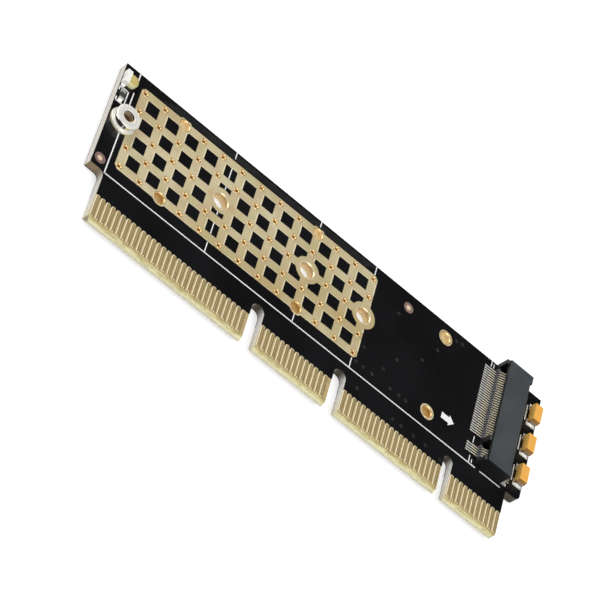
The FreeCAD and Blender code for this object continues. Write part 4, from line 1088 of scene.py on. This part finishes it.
def contact_groups(name):
    """The first contact's middle line and the count of each group in a row of the socket's contacts."""
    low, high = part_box("socket_contacts_" + name)
    last = high.y - STRIP_WIDTH / 2
    return ((low.y + STRIP_WIDTH / 2, SHORT_GROUP[name]), (last - (LONG_GROUP - 1) * PIN_STEP, LONG_GROUP))


def row_of_bars(name, start, end, width, low, height, between=0):
    """Bars along a row of the socket's contacts: one on each, or with between=1 one on each side of each."""
    groups = []
    for first, count in contact_groups(name):
        line = first - between * PIN_STEP / 2
        groups.append(bars([((start, line), (end, line))], width, low, height))
        repeat(count + between, (0.0, PIN_STEP, 0.0))
    merge(groups)


class CARD_OT_socket_comb(bpy.types.Operator):
    """Adds the lacquer between the socket's pads, the comb between its contacts, and their toes and tips"""
    bl_idname = "card.socket_comb"
    bl_label = "Socket Comb"

    def execute(self, context):
        pad_low, pad_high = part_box("socket_pads")
        for name, start, end in (("lower", pad_low.x, SOCKET_LOW.x), ("upper", SOCKET_HIGH.x, pad_high.x)):
            row_of_bars(name, start - DAM_END, end + DAM_END, DAM_WIDTH, CORE, FACE - CORE + DAM_RISE,
                        between=1)
            keep("pad_dams_" + name, "lacquer")
        row_of_bars("lower", SOCKET_LOW.x - RIB_PROUD, SOCKET_LOW.x + RIB_BACK, RIB_WIDTH, FACE + RIB_LOW,
                    RIB_HIGH - RIB_LOW, between=1)
        edit_mode()
        pick_points(lambda point: point.x < SOCKET_LOW.x and point.z > FACE + RIB_LOW + TINY,
                    everything=True)
        bpy.ops.transform.translate(value=(RIB_PROUD, 0.0, 0.0))
        object_mode()
        # The comb's finish is painted light: the same black moulding made a lighter grey
        keep("socket_comb", "comb_plastic_lit")
        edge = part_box("socket_contacts_lower")[0].x
        row_of_bars("lower", pad_low.x - TOE_REACH, edge + DAM_END, TOE_WIDTH, FACE, TOE_RISE)
        keep("socket_toes", "solder")
        row_of_bars("lower", SOCKET_LOW.x + TIP_START, SOCKET_LOW.x + TIP_END, STRIP_WIDTH,
                    FACE + SLOT_FLOOR, TOE_RISE)
        keep("contact_tips", "spring_contact")
        return {"FINISHED"}


class CARD_OT_covered_copper(bpy.types.Operator):
    """Raises the lacquer a little over the small vias and the traces that it covers, in a lighter grey that
    is partly its tone over copper and partly painted sheen
    """
    bl_idname = "card.covered_copper"
    bl_label = "Covered Copper"

    def execute(self, context):
        dome = outline_of(COVERED_DOME, FACE)
        merge([rings(spot(across, up), dome, 16) for across, up in COVERED_VIAS])
        smooth(60.0)
        keep("covered_vias", "lacquer_over_copper_sheen")
        bars(COVERED_TRACES, TRACE_WIDTH, FACE, TRACE_RISE)
        keep("covered_traces", "lacquer_over_copper_sheen")
        return {"FINISHED"}


class CARD_OT_threads(bpy.types.Operator):
    """Winds the ridge of the thread that shows in the bore of the post nut"""
    bl_idname = "card.threads"
    bl_label = "Nut Thread"

    def execute(self, context):
        middle = (NUT_BORE, 0.0, 0.0)
        clear_selection()
        bpy.ops.mesh.primitive_circle_add(vertices=3, radius=THREAD_DEPTH, fill_type="NOTHING",
                                          rotation=(math.pi / 2, 0.0, 0.0), location=middle)
        fix_place()
        edit_mode()
        pick_all()
        bpy.ops.transform.rotate(value=math.radians(-90.0), orient_axis="Y", center_override=middle)
        squeeze((1.0, 1.0, THREAD_SQUASH), middle)
        object_mode()
        add_modifier("SCREW", axis="Z", screw_offset=THREAD_PITCH, iterations=THREAD_TURNS,
                     steps=THREAD_STEPS, render_steps=THREAD_STEPS)
        edit_mode()
        pick_all()
        bpy.ops.mesh.fill_holes(sides=4)
        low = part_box("post_screw")[1].z + THREAD_START
        bpy.ops.transform.translate(value=(POST_X[0], LINE_Y, low))
        tidy_mesh()
        object_mode()
        smooth(35.0)
        # Its finish paints the thread bright, as painted light in the bore's shade
        keep("nut_thread", "thread_highlight")
        return {"FINISHED"}


def solder_wedge(wall, side, size):
    """A hollow-faced fillet of solder from a pad up the foot of a wall.

    The wall is the point on its foot, side is the way that the solder runs out from it, and size holds its
    width, reach and rise in millimetres.
    """
    width, reach, rise = (value * MM for value in size)
    foot = Vector((*wall, FACE))
    middle = foot + Vector((*side, 0.0)) * reach / 2
    clear_selection()
    bpy.ops.mesh.primitive_plane_add(size=1.0, location=middle)
    edit_mode()
    pick_all()
    squeeze((reach if side[0] else width, width if side[0] else reach, 1.0), middle)
    height = 0.0
    for level, shrink, slim in WEDGE_STEPS:
        pull((0.0, 0.0, rise * level - height))
        squeeze((shrink if side[0] else slim, slim if side[0] else shrink, 1.0), foot)
        height = rise * level
    tidy_mesh()
    object_mode()
    fix_place()
    return bpy.context.object


class CARD_OT_solder(bpy.types.Operator):
    """Adds the solder at the feet of the socket, its tabs, the capacitors, the resistor and the light"""
    bl_idname = "card.solder"
    bl_label = "Solder"

    def execute(self, context):
        for name, side in (("lower", -1), ("upper", 1)):
            low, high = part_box("socket_contacts_" + name)
            edge = low.x if side < 0 else high.x
            groups = []
            for first, count in contact_groups(name):
                groups.append(solder_wedge((edge, first), (side, 0), CONTACT_SOLDER))
                repeat(count, (0.0, PIN_STEP, 0.0))
            merge(groups)
            smooth(60.0)
            keep("socket_solder_" + name, "solder")
        joints = []
        for name, size in PART_SOLDER.items():
            low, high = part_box(name)
            middle = (low.x + high.x) / 2
            joints.append(solder_wedge((middle, low.y), (0, -1), size))
            joints.append(solder_wedge((middle, high.y), (0, 1), size))
        for name in ("far", "near"):
            low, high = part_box("hold_down_" + name)
            middle = (low.y + high.y) / 2
            joints.append(solder_wedge((low.x, middle), (-1, 0), TAB_SOLDER[0]))
            joints.append(solder_wedge((high.x, middle), (1, 0), TAB_SOLDER[1]))
        merge(joints)
        smooth(60.0)
        keep("part_solder", "solder")
        return {"FINISHED"}


# Studio

class CARD_OT_studio(bpy.types.Operator):
    """Sets up the pale floor, the soft light and the camera"""
    bl_idname = "card.studio"
    bl_label = "Studio"

    def execute(self, context):
        studio = context.scene.card_studio
        make_floor()
        make_world(studio.world_strength)
        make_lamps()
        make_camera(studio.lens, studio.roll)
        context.scene.view_settings.view_transform = "Standard"
        return {"FINISHED"}


def make_floor():
    """A wide pale floor that stays white behind the card, takes its shadow, and is clear from below."""
    clear_selection()
    bpy.ops.mesh.primitive_plane_add(size=FLOOR_SIZE, location=(0.0, 0.0, 0.0))
    floor = bpy.context.object
    floor.name = "floor"
    tree, shader = material("floor_white", 0.8)[:2]
    shader.inputs["Base Color"].default_value = (FLOOR_GREY, FLOOR_GREY, FLOOR_GREY, 1.0)
    shader.inputs["Specular IOR Level"].default_value = 0.1
    path = tree.nodes.new("ShaderNodeLightPath")
    seen = math_node(tree, "MAXIMUM", path.outputs["Is Camera Ray"],
                     math_node(tree, "MAXIMUM", path.outputs["Is Glossy Ray"],
                               path.outputs["Is Transmission Ray"]))
    shader.inputs["Emission Color"].default_value = (1.0, 1.0, 1.0, 1.0)
    join(tree, math_node(tree, "MULTIPLY", seen, FLOOR_GLOW), shader.inputs["Emission Strength"])
    below = tree.nodes.new("ShaderNodeMixShader")
    join(tree, tree.nodes.new("ShaderNodeNewGeometry").outputs["Backfacing"], below.inputs[0])
    join(tree, shader.outputs["BSDF"], below.inputs[1])
    join(tree, tree.nodes.new("ShaderNodeBsdfTransparent").outputs["BSDF"], below.inputs[2])
    join(tree, below.outputs["Shader"], tree.nodes["Material Output"].inputs["Surface"])
    floor.data.materials.append(finish_named("floor_white"))


def make_world(strength):
    """A white studio with one darker side, which the card's flat gloss mirrors to the camera."""
    world = bpy.data.worlds.new("studio")
    bpy.context.scene.world = world
    world.use_nodes = True
    tree = world.node_tree
    background = tree.nodes["Background"]
    direction = tree.nodes.new("ShaderNodeTexCoord").outputs["Generated"]
    turn = tree.nodes.new("ShaderNodeVectorMath")
    turn.operation = "DOT_PRODUCT"
    view = (Vector(CAMERA_AIM) - Vector(CAMERA_PLACE)).normalized()
    turn.inputs[1].default_value = (view.x, view.y, -view.z)
    join(tree, direction, turn.inputs[0])
    dark = ramp(tree, turn.outputs["Value"], math.cos(math.radians(DARK_EDGE)),
                math.cos(math.radians(DARK_CORE)))
    join(tree, mix_colour(tree, dark, (WORLD_LIGHT,) * 3, (WORLD_DARK,) * 3), background.inputs["Color"])
    background.inputs["Strength"].default_value = strength


def make_lamps():
    """Two large soft lamps: one at the card's left end, and one overhead."""
    for name, (place, breadth, power) in LAMPS.items():
        bpy.ops.object.light_add(type="AREA", location=place)
        lamp = bpy.context.object
        lamp.name = name
        lamp.data.size = breadth
        lamp.data.energy = power
        lamp.rotation_euler = (-Vector(place)).to_track_quat("-Z", "Y").to_euler()


def make_camera(lens, roll):
    """The camera, tilted as the card is tilted in its picture."""
    bpy.ops.object.camera_add(location=CAMERA_PLACE)
    camera = bpy.context.object
    camera.name = "camera"
    view = Vector(CAMERA_AIM) - Vector(CAMERA_PLACE)
    turn = view.to_track_quat("-Z", "Y").to_matrix() @ Matrix.Rotation(roll, 3, "Z")
    camera.rotation_euler = turn.to_euler()
    camera.data.lens = lens
    camera.data.sensor_width = 36.0
    camera.data.clip_start = 10.0 * MM
    camera.data.clip_end = 20.0
    bpy.context.scene.camera = camera


CLASSES = (CardColours, CardSizes, CardStudio, CARD_OT_finishes, CARD_OT_printing, CARD_OT_arrow,
           CARD_OT_scallops, CARD_OT_vias, CARD_OT_hole_barrels, CARD_OT_socket_comb, CARD_OT_covered_copper,
           CARD_OT_threads, CARD_OT_solder, CARD_OT_studio)
STEPS = ("finishes", "printing", "arrow", "scallops", "vias", "hole_barrels", "socket_comb",
         "covered_copper", "threads", "solder", "studio")


class CARD_PT_panel(bpy.types.Panel):
    """Lists the steps that dress the card"""
    bl_idname = "CARD_PT_panel"
    bl_label = "Adapter Card"
    bl_space_type = "VIEW_3D"
    bl_region_type = "UI"
    bl_category = "Card"

    def draw(self, context):
        for step in STEPS:
            self.layout.operator("card." + step)
        for settings in (context.scene.card_colours, context.scene.card_sizes, context.scene.card_studio):
            for name in settings.bl_rna.properties.keys():
                if name not in ("rna_type", "name"):
                    self.layout.prop(settings, name)


def register():
    """Registers the classes and gives the scene its settings."""
    for kind in CLASSES + (CARD_PT_panel,):
        bpy.utils.register_class(kind)
    bpy.types.Scene.card_colours = bpy.props.PointerProperty(type=CardColours)
    bpy.types.Scene.card_sizes = bpy.props.PointerProperty(type=CardSizes)
    bpy.types.Scene.card_studio = bpy.props.PointerProperty(type=CardStudio)


def unregister():
    """Takes the settings and the classes away again."""
    del bpy.types.Scene.card_colours
    del bpy.types.Scene.card_sizes
    del bpy.types.Scene.card_studio
    for kind in reversed(CLASSES + (CARD_PT_panel,)):
        bpy.utils.unregister_class(kind)


def main():
    """Dresses the card step by step."""
    register()
    for step in STEPS:
        getattr(bpy.ops.card, step)()


if __name__ == "__main__":
    main()
